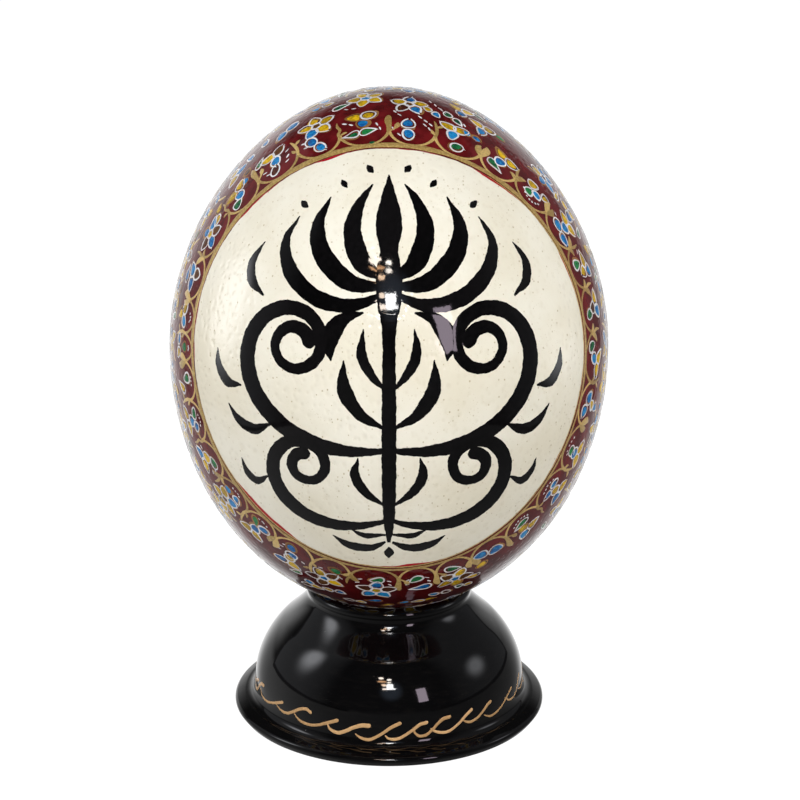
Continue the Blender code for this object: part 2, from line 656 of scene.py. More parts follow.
@dataclass
class Shell:
    """The eggshell: a fine sphere drawn out to the egg's outline."""

    surface: EggSurface
    chart: PanelChart
    ring_path: Callable[[Array], Array]
    segments: int = 288
    rings: int = 176

    def build(self) -> bpy.types.Object:
        """Model and dress the shell.

        Returns:
            The shell, which stands for the solid egg.
        """
        belt = self.surface.belt_height
        obj = primitive(
            bpy.ops.mesh.primitive_uv_sphere_add,
            "painted_shell",
            segments=self.segments,
            ring_count=self.rings,
            radius=self.surface.radius,
            location=(0.0, 0.0, belt),
        )
        self._draw_out(obj, self.surface.upper_half, 1.0)
        self._draw_out(obj, self.surface.lower_half, -1.0)
        finish_piece(obj, ShellFinish().build(), "egg_shell", 80.0)
        self._settle(obj)
        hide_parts("egg")
        return obj

    def _draw_out(self, obj: bpy.types.Object, half: float, side: float) -> None:
        """Stretch one half of the sphere.

        Args:
            obj: the sphere, in edit mode.
            half: the height that the half gets.
            side: 1 for the half above the belt and -1 for the one below it.
        """
        select_where(obj, lambda place: place.z * side > MM)
        stretch = half / self.surface.radius
        belt = (0.0, 0.0, self.surface.belt_height)
        bpy.ops.transform.resize(value=(1.0, 1.0, stretch), center_override=belt)

    def _settle(self, obj: bpy.types.Object) -> None:
        """Give the shell its slight waves, and note how far each point lies beyond the gold ring.

        Args:
            obj: the shell.
        """
        points = mesh_points(obj.data)
        settled = self.surface.at(points - self.surface.centre)
        obj.data.vertices.foreach_set("co", settled.astype(np.float32).ravel())
        turns, reaches = self.chart.place_of(settled)
        beyond = obj.data.attributes.new("beyond_ring", "FLOAT", "POINT")
        beyond.data.foreach_set("value", (reaches - self.ring_path(turns)).astype(np.float32))
        obj.data.update()


def mesh_points(mesh: bpy.types.Mesh) -> Array:
    """Return a mesh's points, as rows."""
    points = np.empty(len(mesh.vertices) * 3, np.float32)
    mesh.vertices.foreach_get("co", points)
    return points.reshape(-1, 3).astype(float)


# ---------------------------------------------------------------- brushwork

Place = Callable[[Array, Array], Array]


def smooth_line(knots: Sequence[Sequence[float]], step: float = 0.5) -> Array:
    """Return a smooth line through a few knots, in millimetres, nowhere thinner than the brush draws.

    Args:
        knots: rows of x, y and the brush's width.
        step: distance between the line's points.

    Returns:
        The line as rows of x, y and width.
    """
    rows = np.asarray(knots, float)
    ends = np.concatenate([[2.0 * rows[0] - rows[1]], rows, [2.0 * rows[-1] - rows[-2]]])
    pieces = []
    for before, start, end, after in zip(ends, ends[1:], ends[2:], ends[3:]):
        count = max(2, math.ceil(float(np.linalg.norm((end - start)[:2])) / step))
        along = np.linspace(0.0, 1.0, count, endpoint=False)[:, None]
        bend = (2.0 * before - 5.0 * start + 4.0 * end - after) * along**2
        swing = (3.0 * start - before - 3.0 * end + after) * along**3
        pieces.append(0.5 * (2.0 * start + (end - before) * along + bend + swing))
    pieces.append(rows[-1:])
    line = np.concatenate(pieces)
    line[:, 2] = np.maximum(line[:, 2], THINNEST_LINE)
    return line


def smooth_lines(strokes: Sequence[Sequence[Sequence[float]]]) -> list[Array]:
    """Return a smooth line through the knots of each stroke."""
    return [smooth_line(knots) for knots in strokes]


def tendril(
    start: Sequence[float], heading: float, length: float, bend: float, curl: float, widths: Sequence[float]
) -> Array:
    """Return a line that leaves a point and curls up more and more tightly, in millimetres.

    Args:
        start: the point it leaves.
        heading: its first direction in degrees, 0 up and 90 to the right.
        length: its length.
        bend: how far it turns evenly on its way, in degrees.
        curl: how far it turns besides, most of it near its end, in degrees.
        widths: the brush's widths at even steps along it.

    Returns:
        The line as rows of x, y and width.
    """
    count = max(8, math.ceil(length / 0.5))
    along = np.linspace(0.0, 1.0, count)
    way = np.radians(heading + bend * along + curl * along**3)
    stride = length / (count - 1)
    x = start[0] + np.concatenate([[0.0], np.cumsum(np.sin(way[:-1]))]) * stride
    y = start[1] + np.concatenate([[0.0], np.cumsum(np.cos(way[:-1]))]) * stride
    places = np.linspace(0.0, 100.0, len(widths))
    spread = smooth_line([(place, 0.0, width) for place, width in zip(places, widths)])
    return rounded_end(np.column_stack([x, y, np.interp(along * 100.0, spread[:, 0], spread[:, 2])]))


def rounded_end(line: Array) -> Array:
    """Round off a line's blunt end.

    Args:
        line: rows of x, y and width.

    Returns:
        The line with the rows of its round end.
    """
    ahead = (line[-1] - line[-2])[:2]
    ahead /= np.linalg.norm(ahead)
    x, y, width = line[-1]
    tip = [
        (x + ahead[0] * width * out, y + ahead[1] * width * out, width * share)
        for out, share in ((0.16, 0.94), (0.30, 0.78), (0.41, 0.54), (0.48, 0.25), (0.50, 0.05))
    ]
    return np.vstack([line, tip])


class EggSpot:
    """A flat drawing board held against the egg, with x clockwise round the panel and y outwards."""

    def __init__(self, chart: PanelChart, turn: float, reach: float) -> None:
        """Set the board against the egg.

        Args:
            chart: the egg's chart.
            turn: the place's turn round the panel's middle, in radians.
            reach: the place's reach from the panel's middle, in metres.
        """
        self.surface = chart.surface
        nudge = 0.5 * MM
        turns = np.array([turn, turn, turn + nudge / reach])
        reaches = np.array([reach, reach + nudge, reach])
        here, outer, onward = self.surface.at(chart.ways(turns, reaches))
        self._here = here
        self._out = (outer - here) / np.linalg.norm(outer - here)
        along = onward - here
        along -= self._out * (along @ self._out)
        self._along = along / np.linalg.norm(along)

    def __call__(self, flat: Array, lift: Array) -> Array:
        """Return the board's flat points, in metres, wrapped on the egg at their height above it."""
        world = self._here + flat[:, :1] * self._along + flat[:, 1:2] * self._out
        return self.surface.at(world - self.surface.centre, lift)


@dataclass
class Film:
    """All brushwork of one paint, built as one piece of thin raised film.

    The brushwork is drawn flat, in millimetres, and a place then wraps each part of it on the surface.
    """

    name: str
    paint: Paint
    height: float = 0.05 * MM
    lift: float = 0.0
    seed: int = 1

    def __post_init__(self) -> None:
        """Start with nothing painted."""
        self.rng = np.random.default_rng(self.seed)
        self.places: list[Place] = []

    def _dress(self, obj: bpy.types.Object, tones: Array) -> None:
        """Give the film its tones, its finish and its body.

        Args:
            obj: the film.
            tones: the paint's tone at each point, from 0 to 1.
        """
        tone = obj.data.attributes.new("tone", "FLOAT", "POINT")
        tone.data.foreach_set("value", tones.astype(np.float32))
        finish = self.paint.value
        material = bpy.data.materials.get(finish.name) or finish.build()
        finish_piece(obj, material, finish.slot, 75.0)


@dataclass
class StrokeFilm(Film):
    """Brush strokes of one paint: bevelled curves, flattened and wrapped."""

    roundness: int = 0
    ragged: float = 0.0
    rounding: float = 0.3 * MM

    def __post_init__(self) -> None:
        """Start with no strokes."""
        super().__post_init__()
        self.lines: list[Array] = []
        self.closed: list[bool] = []

    def stroke(self, line: Array, place: Place, closed: bool = False) -> None:
        """Add a stroke.

        Args:
            line: rows of x, y and width, in millimetres.
            place: where the drawing is wrapped.
            closed: whether its end joins its start.
        """
        self.lines.append(np.asarray(line, float) * MM)
        self.closed.append(closed)
        self.places.append(place)

    def build(self) -> bpy.types.Object:
        """Sweep every stroke on a tile of its own, where its points are told by their place, and wrap them.

        Returns:
            The film.
        """
        pitch = 2.4 * max(float(np.abs(line[:, :2]).max()) for line in self.lines) + 5.0 * MM
        columns = math.ceil(math.sqrt(len(self.lines)))
        obj = self._swept(pitch, columns)
        points = mesh_points(obj.data)
        tiles = np.round(points[:, :2] / pitch).astype(int)
        numbers = tiles[:, 0] * columns + tiles[:, 1]
        order = np.argsort(numbers, kind="stable")
        cuts = np.searchsorted(numbers[order], np.arange(len(self.lines) + 1))
        tones = np.empty(len(points))
        for number, place in enumerate(self.places):
            rows = order[cuts[number] : cuts[number + 1]]
            flat = points[rows, :2] - tiles[rows] * pitch
            points[rows] = place(self._roughened(flat), self.lift + self._flattened(points[rows, 2]))
            tones[rows] = self.rng.random()
        obj.data.vertices.foreach_set("co", points.astype(np.float32).ravel())
        self._dress(obj, tones)
        return obj

    def _swept(self, pitch: float, columns: int) -> bpy.types.Object:
        """Sweep the strokes as round tubes.

        Args:
            pitch: the side of a tile.
            columns: how many tiles lie side by side.

        Returns:
            The tubes, each on its tile.
        """
        curve = bpy.data.curves.new(self.name, "CURVE")
        curve.dimensions = "3D"
        curve.twist_mode = "Z_UP"
        curve.bevel_depth = 1.0
        curve.bevel_resolution = self.roundness
        curve.use_fill_caps = True
        for number, line in enumerate(self.lines):
            spline = curve.splines.new("POLY")
            spline.points.add(len(line) - 1)
            spline.use_cyclic_u = self.closed[number]
            corner = np.array(divmod(number, columns)) * pitch
            places = np.column_stack([line[:, :2] + corner, np.zeros(len(line)), np.ones(len(line))])
            spline.points.foreach_set("co", places.ravel())
            spline.points.foreach_set("radius", line[:, 2] / 2.0)
        obj = bpy.data.objects.new(self.name, curve)
        bpy.context.scene.collection.objects.link(obj)
        deselect_all()
        obj.select_set(True)
        bpy.context.view_layer.objects.active = obj
        bpy.ops.object.convert(target="MESH")
        bpy.ops.object.mode_set(mode="EDIT")
        bpy.ops.mesh.select_all(action="SELECT")
        bpy.ops.mesh.remove_doubles(threshold=0.001 * MM)
        bpy.ops.mesh.normals_make_consistent(inside=False)
        bpy.ops.object.mode_set(mode="OBJECT")
        return obj

    def _flattened(self, heights: Array) -> Array:
        """Return the tubes' heights pressed down to the film's."""
        return np.sign(heights) * self.height * (1.0 - np.exp(-np.abs(heights) / self.rounding))

    def _roughened(self, flat: Array) -> Array:
        """Give a stroke the brush's uneven edge.

        Args:
            flat: its flat points, as rows.

        Returns:
            The points, moved a little.
        """
        if self.ragged == 0.0:
            return flat
        moved = flat.copy()
        for waves, share in ((900.0, 0.4), (2100.0, 0.35), (4700.0, 0.25)):
            shift = np.sin(flat[:, ::-1] * waves + flat * waves * 0.37 + share * 9.0)
            moved += shift * self.ragged * share
        return moved


@dataclass(frozen=True)
class Petal:
    """One enamelled petal, in millimetres on its board, that points to aim, in degrees from x towards y."""

    x: float
    y: float
    length: float
    width: float
    aim: float
    paint: Paint
    point: float = 0.35

    def outline(self, turns: Array, wobble: Array, grow: float = 1.0) -> Array:
        """Return points of the petal's outline, with turn 0 at its point.

        Args:
            turns: angles round the petal, in radians.
            wobble: two phases for the unsteadiness of the hand.
            grow: how large it is, where 1 is the petal's own size.

        Returns:
            Points as rows of x and y.
        """
        unsteady = 1.0 + 0.06 * np.sin(2.0 * turns + wobble[0]) + 0.05 * np.sin(3.0 * turns + wobble[1])
        pinch = (1.0 - self.point) + self.point * 0.77 * (1.0 - np.cos(turns))
        along = 0.5 * self.length * grow * np.cos(turns) * unsteady
        across = 0.5 * self.width * grow * np.sin(turns) * pinch * unsteady
        aim = math.radians(self.aim)
        x = self.x + along * math.cos(aim) - across * math.sin(aim)
        y = self.y + along * math.sin(aim) + across * math.cos(aim)
        return np.column_stack([x, y])


class DabFilm(Film):
    """Dabs of one paint, each a copy of one modelled drop pressed to its petal's outline."""

    SIDES = 14

    def __post_init__(self) -> None:
        """Model the drop, and start with no dabs."""
        super().__post_init__()
        self.dabs: list[Array] = []
        add = bpy.ops.mesh.primitive_circle_add
        obj = primitive(add, "drop", vertices=self.SIDES, radius=1.0, fill_type="NGON")
        bpy.ops.mesh.extrude_region_move(TRANSFORM_OT_translate={"value": (0.0, 0.0, 0.7)})
        bpy.ops.transform.resize(value=(0.84, 0.84, 1.0), center_override=(0.0, 0.0, 0.7))
        bpy.ops.mesh.poke(offset=0.3)
        bpy.ops.mesh.select_all(action="SELECT")
        bpy.ops.mesh.normals_make_consistent(inside=False)
        deselect_all()
        self._drop = mesh_points(obj.data)
        self._faces = [tuple(face.vertices) for face in obj.data.polygons]
        bpy.data.objects.remove(obj, do_unlink=True)

    def dab(self, petal: Petal, wobble: Array, grow: float, shift: Array, place: Place) -> None:
        """Add a dab.

        Args:
            petal: the petal that it fills.
            wobble: phases of the petal's unsteady outline.
            grow: how much of the petal it fills.
            shift: how far it lies off the petal's middle, in millimetres.
            place: where the drawing is wrapped.
        """
        turns = np.arctan2(self._drop[:, 1], self._drop[:, 0])
        share = np.hypot(self._drop[:, 0], self._drop[:, 1])[:, None]
        middle = np.array([petal.x, petal.y])
        self.dabs.append((middle + (petal.outline(turns, wobble, grow) - middle) * share + shift) * MM)
        self.places.append(place)

    def build(self) -> bpy.types.Object:
        """Copy the drop to every dab.

        Returns:
            The film.
        """
        lifts = self.lift + self._drop[:, 2] * self.height - 0.01 * MM
        points = np.concatenate([place(flat, lifts) for flat, place in zip(self.dabs, self.places)])
        count = len(self._drop)
        faces = [
            tuple(corner + number * count for corner in face)
            for number in range(len(self.dabs))
            for face in self._faces
        ]
        mesh = bpy.data.meshes.new(self.name)
        mesh.from_pydata(points.tolist(), [], faces)
        obj = bpy.data.objects.new(self.name, mesh)
        bpy.context.scene.collection.objects.link(obj)
        self._dress(obj, np.repeat(self.rng.random(len(self.dabs)), count))
        return obj


class Palette:
    """The films of one stretch of painted ground: a piece for each paint.

    The shares tell how many petals have ochre or umber below their colour, and how many outlines are
    drawn in tan or closed.
    """

    OCHRE_SHARE = 0.75
    UMBER_SHARE = 0.6
    TAN_SHARE = 0.13
    CLOSED_SHARE = 0.4

    def __init__(self, prefix: str, seed: int, loop: int) -> None:
        """Make the empty films.

        Args:
            prefix: what the pieces' names start with.
            seed: start of the random draws.
            loop: how many points an outline has.
        """
        self.rng = np.random.default_rng(seed)
        self.loop = loop
        thin, thick, above = 0.02 * MM, 0.05 * MM, 0.03 * MM
        self.under = DabFilm(f"{prefix}_ochre_dabs", Paint.OCHRE, thin, 0.0, seed + 1)
        self.colours = {
            paint: DabFilm(f"{prefix}_{paint.name.lower()}_dabs", paint, height, lift, seed + 2)
            for paint, height, lift in (
                (Paint.UMBER, thin, 0.012 * MM),
                (Paint.YELLOW, thick, thin),
                (Paint.BLUE, thick, thin),
                (Paint.GREEN, thick, thin),
            )
        }
        self.outlines = StrokeFilm(f"{prefix}_white_outlines", Paint.WHITE, 0.09 * MM, above, seed + 3)
        self.tan_outlines = StrokeFilm(f"{prefix}_tan_outlines", Paint.OCHRE, 0.07 * MM, above, seed + 4)
        self.dashes = StrokeFilm(f"{prefix}_white_dashes", Paint.WHITE, 0.10 * MM, 0.0, seed + 5)
        self.gold = StrokeFilm(f"{prefix}_gold_sprigs", Paint.GOLD, 0.05 * MM, 0.0, seed + 6, roundness=1)

    def motif(self, petals: Sequence[Petal], place: Place) -> None:
        """Paint a motif: ochre that slipped to one side, the colours, and loose white outlines.

        Args:
            petals: the motif's petals.
            place: where the drawing is wrapped.
        """
        rng = self.rng
        slip_way = rng.uniform(0.0, math.tau)
        slip = np.array([math.cos(slip_way), math.sin(slip_way)]) * rng.uniform(0.3, 0.75)
        for petal in petals:
            wobble = rng.uniform(0.0, math.tau, 2)
            if rng.random() < self.OCHRE_SHARE:
                self.under.dab(petal, wobble + 1.0, rng.uniform(1.1, 1.3), slip, place)
            if petal.paint is not Paint.UMBER and rng.random() < self.UMBER_SHARE:
                self.colours[Paint.UMBER].dab(petal, wobble, 0.92, slip * 0.0, place)
            cover = rng.uniform(0.7, 0.93)
            drift = rng.normal(0.0, 0.16, 2) * petal.width / 3.0
            self.colours[petal.paint].dab(petal, wobble, cover, drift, place)
            self._outline(petal, wobble, place)

    def _outline(self, petal: Petal, wobble: Array, place: Place) -> None:
        """Draw a petal's outline, closed or with a loose end past its point.

        Args:
            petal: the petal.
            wobble: phases of its unsteady outline.
            place: where the drawing is wrapped.
        """
        rng = self.rng
        film = self.tan_outlines if rng.random() < self.TAN_SHARE else self.outlines
        closed = rng.random() < self.CLOSED_SHARE
        open_by = 0.0 if closed else rng.uniform(0.1, 0.5)
        last_turn = math.tau - open_by * rng.uniform(0.2, 1.0)
        turns = np.linspace(open_by, last_turn, self.loop, endpoint=not closed)
        loop = petal.outline(turns, wobble) + rng.normal(0.0, 0.1, 2)
        width = rng.uniform(0.40, 0.55) * (1.0 + 0.22 * np.sin(turns + rng.uniform(0.0, math.tau)))
        line = np.column_stack([loop, width])
        if not closed:
            aim = math.radians(petal.aim + rng.uniform(-25.0, 25.0))
            tail = np.array([math.cos(aim), math.sin(aim)]) * rng.uniform(0.3, 0.8)
            last = np.array([[*(loop[-1] + tail), 0.12]])
            first = np.array([[*(loop[0] + tail * 0.6), 0.15]])
            line = np.concatenate([first, line, last])
        film.stroke(line, place, closed)

    def dash(self, x: float, y: float, aim: float, length: float, place: Place) -> None:
        """Draw one white dash, round where its length is small.

        Args:
            x: place of its middle, in millimetres.
            y: place of its middle, in millimetres.
            aim: the way it runs, in degrees from x towards y.
            length: its length, in millimetres.
            place: where the drawing is wrapped.
        """
        way = math.radians(aim + self.rng.normal(0.0, 8.0))
        half = np.array([math.cos(way), math.sin(way)]) * length / 2.0
        middle = np.array([x, y]) + self.rng.normal(0.0, 0.12, 2)
        thick = self.rng.uniform(0.42, 0.62)
        ends = ((-1.0, 0.18), (-0.6, 0.9), (0.0, 1.0), (0.6, 0.8), (1.0, 0.15))
        self.dashes.stroke([(*(middle + half * along), thick * share) for along, share in ends], place)

    def build(self) -> None:
        """Build every film that has something on it."""
        lines = (self.outlines, self.tan_outlines, self.dashes, self.gold)
        for film in (self.under, *self.colours.values(), *lines):
            if film.places:
                film.build()


# ---------------------------------------------------------------- motifs


def trefoil(left: Paint, right: Paint, foot: Paint) -> tuple[Petal, ...]:
    """Return two petals side by side over a third."""
    return (
        Petal(-2.2, 1.1, 4.8, 3.7, 165.0, left, 0.45),
        Petal(2.1, 1.4, 4.6, 3.9, 25.0, right),
        Petal(-0.1, -2.5, 3.9, 3.6, -95.0, foot, 0.2),
    )


def pair(first: Paint, second: Paint) -> tuple[Petal, ...]:
    """Return two round petals, one over the other."""
    return (Petal(0.2, 2.3, 4.4, 3.8, 70.0, first, 0.2), Petal(0.0, -2.3, 4.2, 3.6, -80.0, second, 0.2))


def beads(first: Paint, second: Paint) -> tuple[Petal, ...]:
    """Return two small petals side by side."""
    return (Petal(-2.0, 0.2, 3.3, 2.9, 150.0, first), Petal(2.0, -0.2, 3.4, 2.8, -20.0, second))


def ring(paint: Paint) -> tuple[Petal, ...]:
    """Return a single round bud."""
    return (Petal(0.0, 0.0, 4.1, 3.3, 15.0, paint, 0.25),)


def leaf(paint: Paint) -> tuple[Petal, ...]:
    """Return a single slender leaf."""
    return (Petal(0.0, 0.0, 5.2, 2.9, 0.0, paint, 0.7),)


def leaves(paint: Paint) -> tuple[Petal, ...]:
    """Return two slender leaves, tip away from tip."""
    return (Petal(-2.3, -0.2, 4.6, 2.6, 182.0, paint, 0.8), Petal(2.5, 0.2, 4.7, 3.0, 4.0, paint, 0.7))


def blossom(petals: Sequence[Paint], heart: Paint) -> tuple[Petal, ...]:
    """Return an open flower.

    Args:
        petals: the paints of its petals.
        heart: the paint of its heart.

    Returns:
        Its petals, with the heart as the last.
    """
    turns = [math.radians(90.0 + 360.0 * number / len(petals)) for number in range(len(petals))]
    around = [
        Petal(3.5 * math.cos(turn), 3.5 * math.sin(turn), 4.6, 3.8, math.degrees(turn), paint)
        for turn, paint in zip(turns, petals)
    ]
    return (*around, Petal(0.0, 0.0, 3.2, 2.9, 0.0, heart, 0.0))


def moved(
    petals: Sequence[Petal], x: float, y: float, spin: float = 0.0, size: float = 1.0
) -> tuple[Petal, ...]:
    """Move a motif to a place on the board.

    Args:
        petals: the motif's petals.
        x: the place of its middle, in millimetres.
        y: the place of its middle, in millimetres.
        spin: how far it is turned, in degrees.
        size: how large it is, where 1 is its own size.

    Returns:
        The petals in their new places.
    """
    angle = math.radians(spin)
    across, up = math.cos(angle) * size, math.sin(angle) * size
    return tuple(
        replace(
            petal,
            x=x + petal.x * across - petal.y * up,
            y=y + petal.x * up + petal.y * across,
            length=petal.length * size,
            width=petal.width * size,
            aim=petal.aim + spin,
        )
        for petal in petals
    )


class Bud(Enum):
    """Gold sprigs where two scallops meet, as strokes of knots with x, y and width in millimetres."""

    CLUB = (
        ((-0.2, -0.6, 0.9), (0.0, 2.0, 1.4), (-0.3, 4.8, 2.0), (-0.1, 6.6, 1.6), (0.0, 7.4, 0.5)),
        ((0.5, 0.4, 0.5), (1.7, 1.5, 0.8), (2.4, 2.8, 1.6), (2.5, 3.9, 0.4)),
    )
    PRONG = (
        ((0.0, -0.5, 0.9), (0.3, 2.0, 1.0), (0.0, 4.2, 1.0), (-0.6, 6.2, 0.7), (-1.0, 7.2, 0.2)),
        ((0.2, 4.4, 0.6), (1.2, 5.4, 1.1), (2.1, 5.8, 0.2)),
        ((0.0, 1.0, 0.6), (-0.9, 1.8, 1.1), (-1.4, 2.8, 0.2)),
    )
    WAVY = (
        ((0.0, -0.5, 1.0), (-0.3, 1.5, 0.9), (0.3, 3.2, 0.9), (-0.3, 5.0, 0.8), (-0.2, 6.8, 0.3)),
        ((0.3, 0.8, 0.5), (1.4, 1.3, 0.9), (2.2, 1.2, 0.2)),
    )
    HEART = (
        ((0.0, -0.3, 1.2), (-0.8, 1.6, 2.2), (-1.3, 3.4, 2.4), (-1.0, 5.0, 0.6)),
        ((0.0, -0.3, 1.2), (0.9, 1.3, 2.2), (1.3, 2.8, 2.0), (0.9, 4.0, 0.5)),
    )
    BIRD = (
        ((0.0, -0.6, 1.0), (-0.7, 1.2, 1.9), (-1.9, 2.6, 1.5), (-3.1, 3.2, 0.3)),
        ((0.0, -0.3, 1.0), (1.2, 0.8, 1.6), (2.5, 0.9, 0.3)),
        ((-0.2, 1.0, 0.8), (0.5, 3.2, 1.0), (0.4, 5.8, 0.4)),
    )


Y, B, G, U = Paint.YELLOW, Paint.BLUE, Paint.GREEN, Paint.UMBER


@dataclass(frozen=True)
class Cell:
    """One scallop of the border, with what is painted in it.

    turn is where it starts, in degrees clockwise from the top. Each motif has its place from the middle
    of the cell, x clockwise and y outwards from the gold ring, and then its spin in degrees and its size,
    which may be left out.
    """

    turn: float
    bud: Bud
    motifs: tuple[tuple[tuple[Petal, ...] | float, ...], ...]
    dashes: tuple[int, int] = (0, 0)
    dots: int = 0


CELLS = (
    Cell(0.0, Bud.CLUB, ((pair(B, B), -1.3, 6.9, 8),)),
    Cell(11.6, Bud.PRONG, (
        (trefoil(Y, Y, B), -2.3, 10.8), (ring(G), -0.3, 4.2), (beads(B, B), 3.0, 12.2, 0, 0.9),
    )),
    Cell(24.0, Bud.HEART, ((trefoil(Y, Y, B), 0.8, 9.9, -20), (leaf(G), -1.4, 4.9, -25))),
    Cell(35.0, Bud.BIRD, (
        (ring(Y), -1.6, 9.6, 30, 1.05), (ring(G), -1.4, 5.4, 60, 0.9), (beads(B, Y), 2.6, 8.6, 50),
    ), dots=7),
    Cell(47.1, Bud.HEART, ((pair(B, B), 0.6, 5.8, 78), (trefoil(Y, Y, B), 0.8, 12.0)), dashes=(1, 0)),
    Cell(58.9, Bud.BIRD, ((ring(G), -1.2, 5.3, 80), (trefoil(Y, B, Y), 1.0, 10.6, 20)), dashes=(1, 0)),
    Cell(70.6, Bud.BIRD, ((ring(G), 1.0, 5.0, 70, 0.95), (trefoil(Y, B, U), -0.6, 10.2, 10))),
    Cell(83.1, Bud.BIRD, ((ring(G), -3.2, 4.7, 90), (trefoil(Y, Y, B), 1.6, 8.4, -30))),
    Cell(97.2, Bud.PRONG, ((pair(B, B), 0.2, 5.5, 66), (beads(Y, B), 0.8, 11.4, 80))),
    Cell(109.5, Bud.HEART, ((ring(G), 1.4, 5.6, 40), (trefoil(Y, Y, B), 1.8, 10.6)), dots=5),
    Cell(122.6, Bud.PRONG, ((beads(B, B), 0.4, 6.0, 20), (trefoil(Y, B, Y), 0.0, 11.4)), dots=5),
    Cell(135.3, Bud.WAVY, ((leaf(G), 0.6, 5.4, 10), (trefoil(Y, B, Y), 0.4, 10.6, 15)), dots=6),
    Cell(147.0, Bud.CLUB, ((pair(B, B), 0.6, 6.6, 70, 1.1), (ring(Y), 4.4, 11.4))),
    Cell(157.9, Bud.HEART, ((leaf(G), 0.4, 5.8, 160), (blossom((Y, U, Y, U, Y), B), 0.8, 12.8))),
    Cell(167.8, Bud.CLUB, ((ring(G), 0.4, 6.6, 20), (leaf(B), -0.4, 12.2, 5, 1.2)), dashes=(2, 2)),
    Cell(177.5, Bud.CLUB, (
        (ring(G), -1.0, 6.4), (blossom((B, U, B, U, B), Y), -1.0, 13.2, 36, 1.05),
    ), dashes=(2, 2)),
    Cell(190.2, Bud.BIRD, (
        (ring(G), -1.2, 5.6, -35), (blossom((U, Y, U, Y, U), B), 1.1, 12.6),
    ), dashes=(2, 2)),
    Cell(200.4, Bud.PRONG, ((pair(B, B), 0.4, 6.6, 20), (trefoil(Y, B, Y), 0.0, 13.0)), dashes=(1, 3)),
    Cell(212.1, Bud.HEART, (
        (ring(B), -1.6, 6.2), (leaf(G), 1.8, 5.8, 120, 0.9), (trefoil(Y, Y, B), 0.6, 11.8),
    ), dots=4),
    Cell(222.7, Bud.PRONG, ((beads(B, B), 0.2, 6.0, 10), (blossom((Y, Y, B, Y, Y), U), 0.0, 12.6)), dots=4),
    Cell(234.4, Bud.BIRD, ((ring(G), -1.4, 5.4), (trefoil(Y, B, Y), 0.8, 10.6)), dashes=(2, 1)),
    Cell(245.9, Bud.WAVY, ((beads(B, G), 0.2, 5.9, -5, 1.05), (trefoil(Y, Y, B), 0.0, 11.0)), dots=4),
    Cell(257.6, Bud.PRONG, ((ring(G), 0.6, 5.6, 85), (leaf(Y), -2.0, 10.4, 60)), dots=3),
    Cell(268.8, Bud.HEART, ((ring(G), 0.0, 5.7, 90, 0.9), (beads(Y, B), 0.0, 10.4)), dots=3),
    Cell(276.6, Bud.PRONG, ((trefoil(Y, Y, B), 0.2, 8.4, -60, 0.95),), dots=4),
    Cell(286.0, Bud.HEART, ((trefoil(B, B, U), 0.4, 7.4, 20), (leaf(B), 0.0, 12.8))),
    Cell(298.2, Bud.BIRD, (
        (blossom((B, U, B, U, B), Y), -0.8, 8.4, 10, 0.95), (beads(Y, Y), 5.0, 10.6, 60, 1.1),
    )),
    Cell(312.3, Bud.WAVY, (
        (trefoil(Y, Y, B), -0.6, 9.6, 10), (ring(G), -2.6, 4.9, 0, 0.95), (beads(B, U), 4.0, 12.0, 60),
    )),
    Cell(323.8, Bud.CLUB, (
        (trefoil(Y, U, B), 0.4, 10.6), (ring(U), -0.8, 4.8, 45), (leaf(G), -4.4, 13.2, 45, 0.8),
    ), dashes=(3, 3)),
    Cell(336.2, Bud.PRONG, (
        (blossom((Y, Y, B, Y, Y), U), 0.8, 14.6), (pair(B, B), -0.8, 5.8, 30, 0.95),
    ), dashes=(2, 0)),
    Cell(347.7, Bud.WAVY, ((trefoil(Y, Y, B), -0.4, 12.0), (leaves(G), -1.5, 5.6, 5))),
)


# Second row of flowers, at the crown and by the stand's lip: motif, turn in degrees, reach in
# millimetres, and then spin in degrees and size, which may be left out.
SECOND_ROW = (
    (blossom((Y, Y, Y, Y, Y), B), 354.9, 91.0, 15.0, 0.95),
    (leaf(G), 349.2, 88.3, 12.0),
    (pair(B, B), 335.6, 88.6, -65.0),
    (beads(B, Y), 344.9, 93.8),
    (ring(B), 329.8, 91.5, 60.0, 0.9),
    (blossom((B, Y, U, B, Y), U), 4.6, 86.6, 0.0, 0.95),
    (beads(Y, B), 9.9, 84.4, -30.0, 0.85),
    (beads(G, G), 14.9, 84.6, -25.0, 0.95),
    (trefoil(Y, Y, B), 16.6, 92.2, 0.0, 0.95),
    (leaf(G), 21.0, 94.4, -20.0, 0.9),
    (trefoil(Y, Y, B), 22.4, 86.9),
    (ring(G), 26.8, 88.2, -20.0, 0.9),
    (leaf(Y), 159.5, 84.0, -30.0, 0.9),
    (beads(Y, G), 162.2, 88.6, -30.0, 0.85),
    (beads(U, B), 168.0, 88.5, -10.0, 0.95),
    (leaves(Y), 171.8, 92.3, -5.0, 0.85),
    (ring(B), 176.5, 92.0, 0.0, 0.8),
    (ring(Y), 180.3, 94.6, 10.0, 0.85),
    (leaf(B), 183.5, 90.0, 10.0),
    (beads(Y, U), 187.8, 93.2, 10.0, 0.9),
    (beads(B, Y), 193.0, 87.5, 20.0, 0.95),
    (trefoil(Y, U, B), 198.6, 89.6, 25.0, 0.8),
    (leaf(G), 203.0, 84.5, 35.0, 0.8),
)


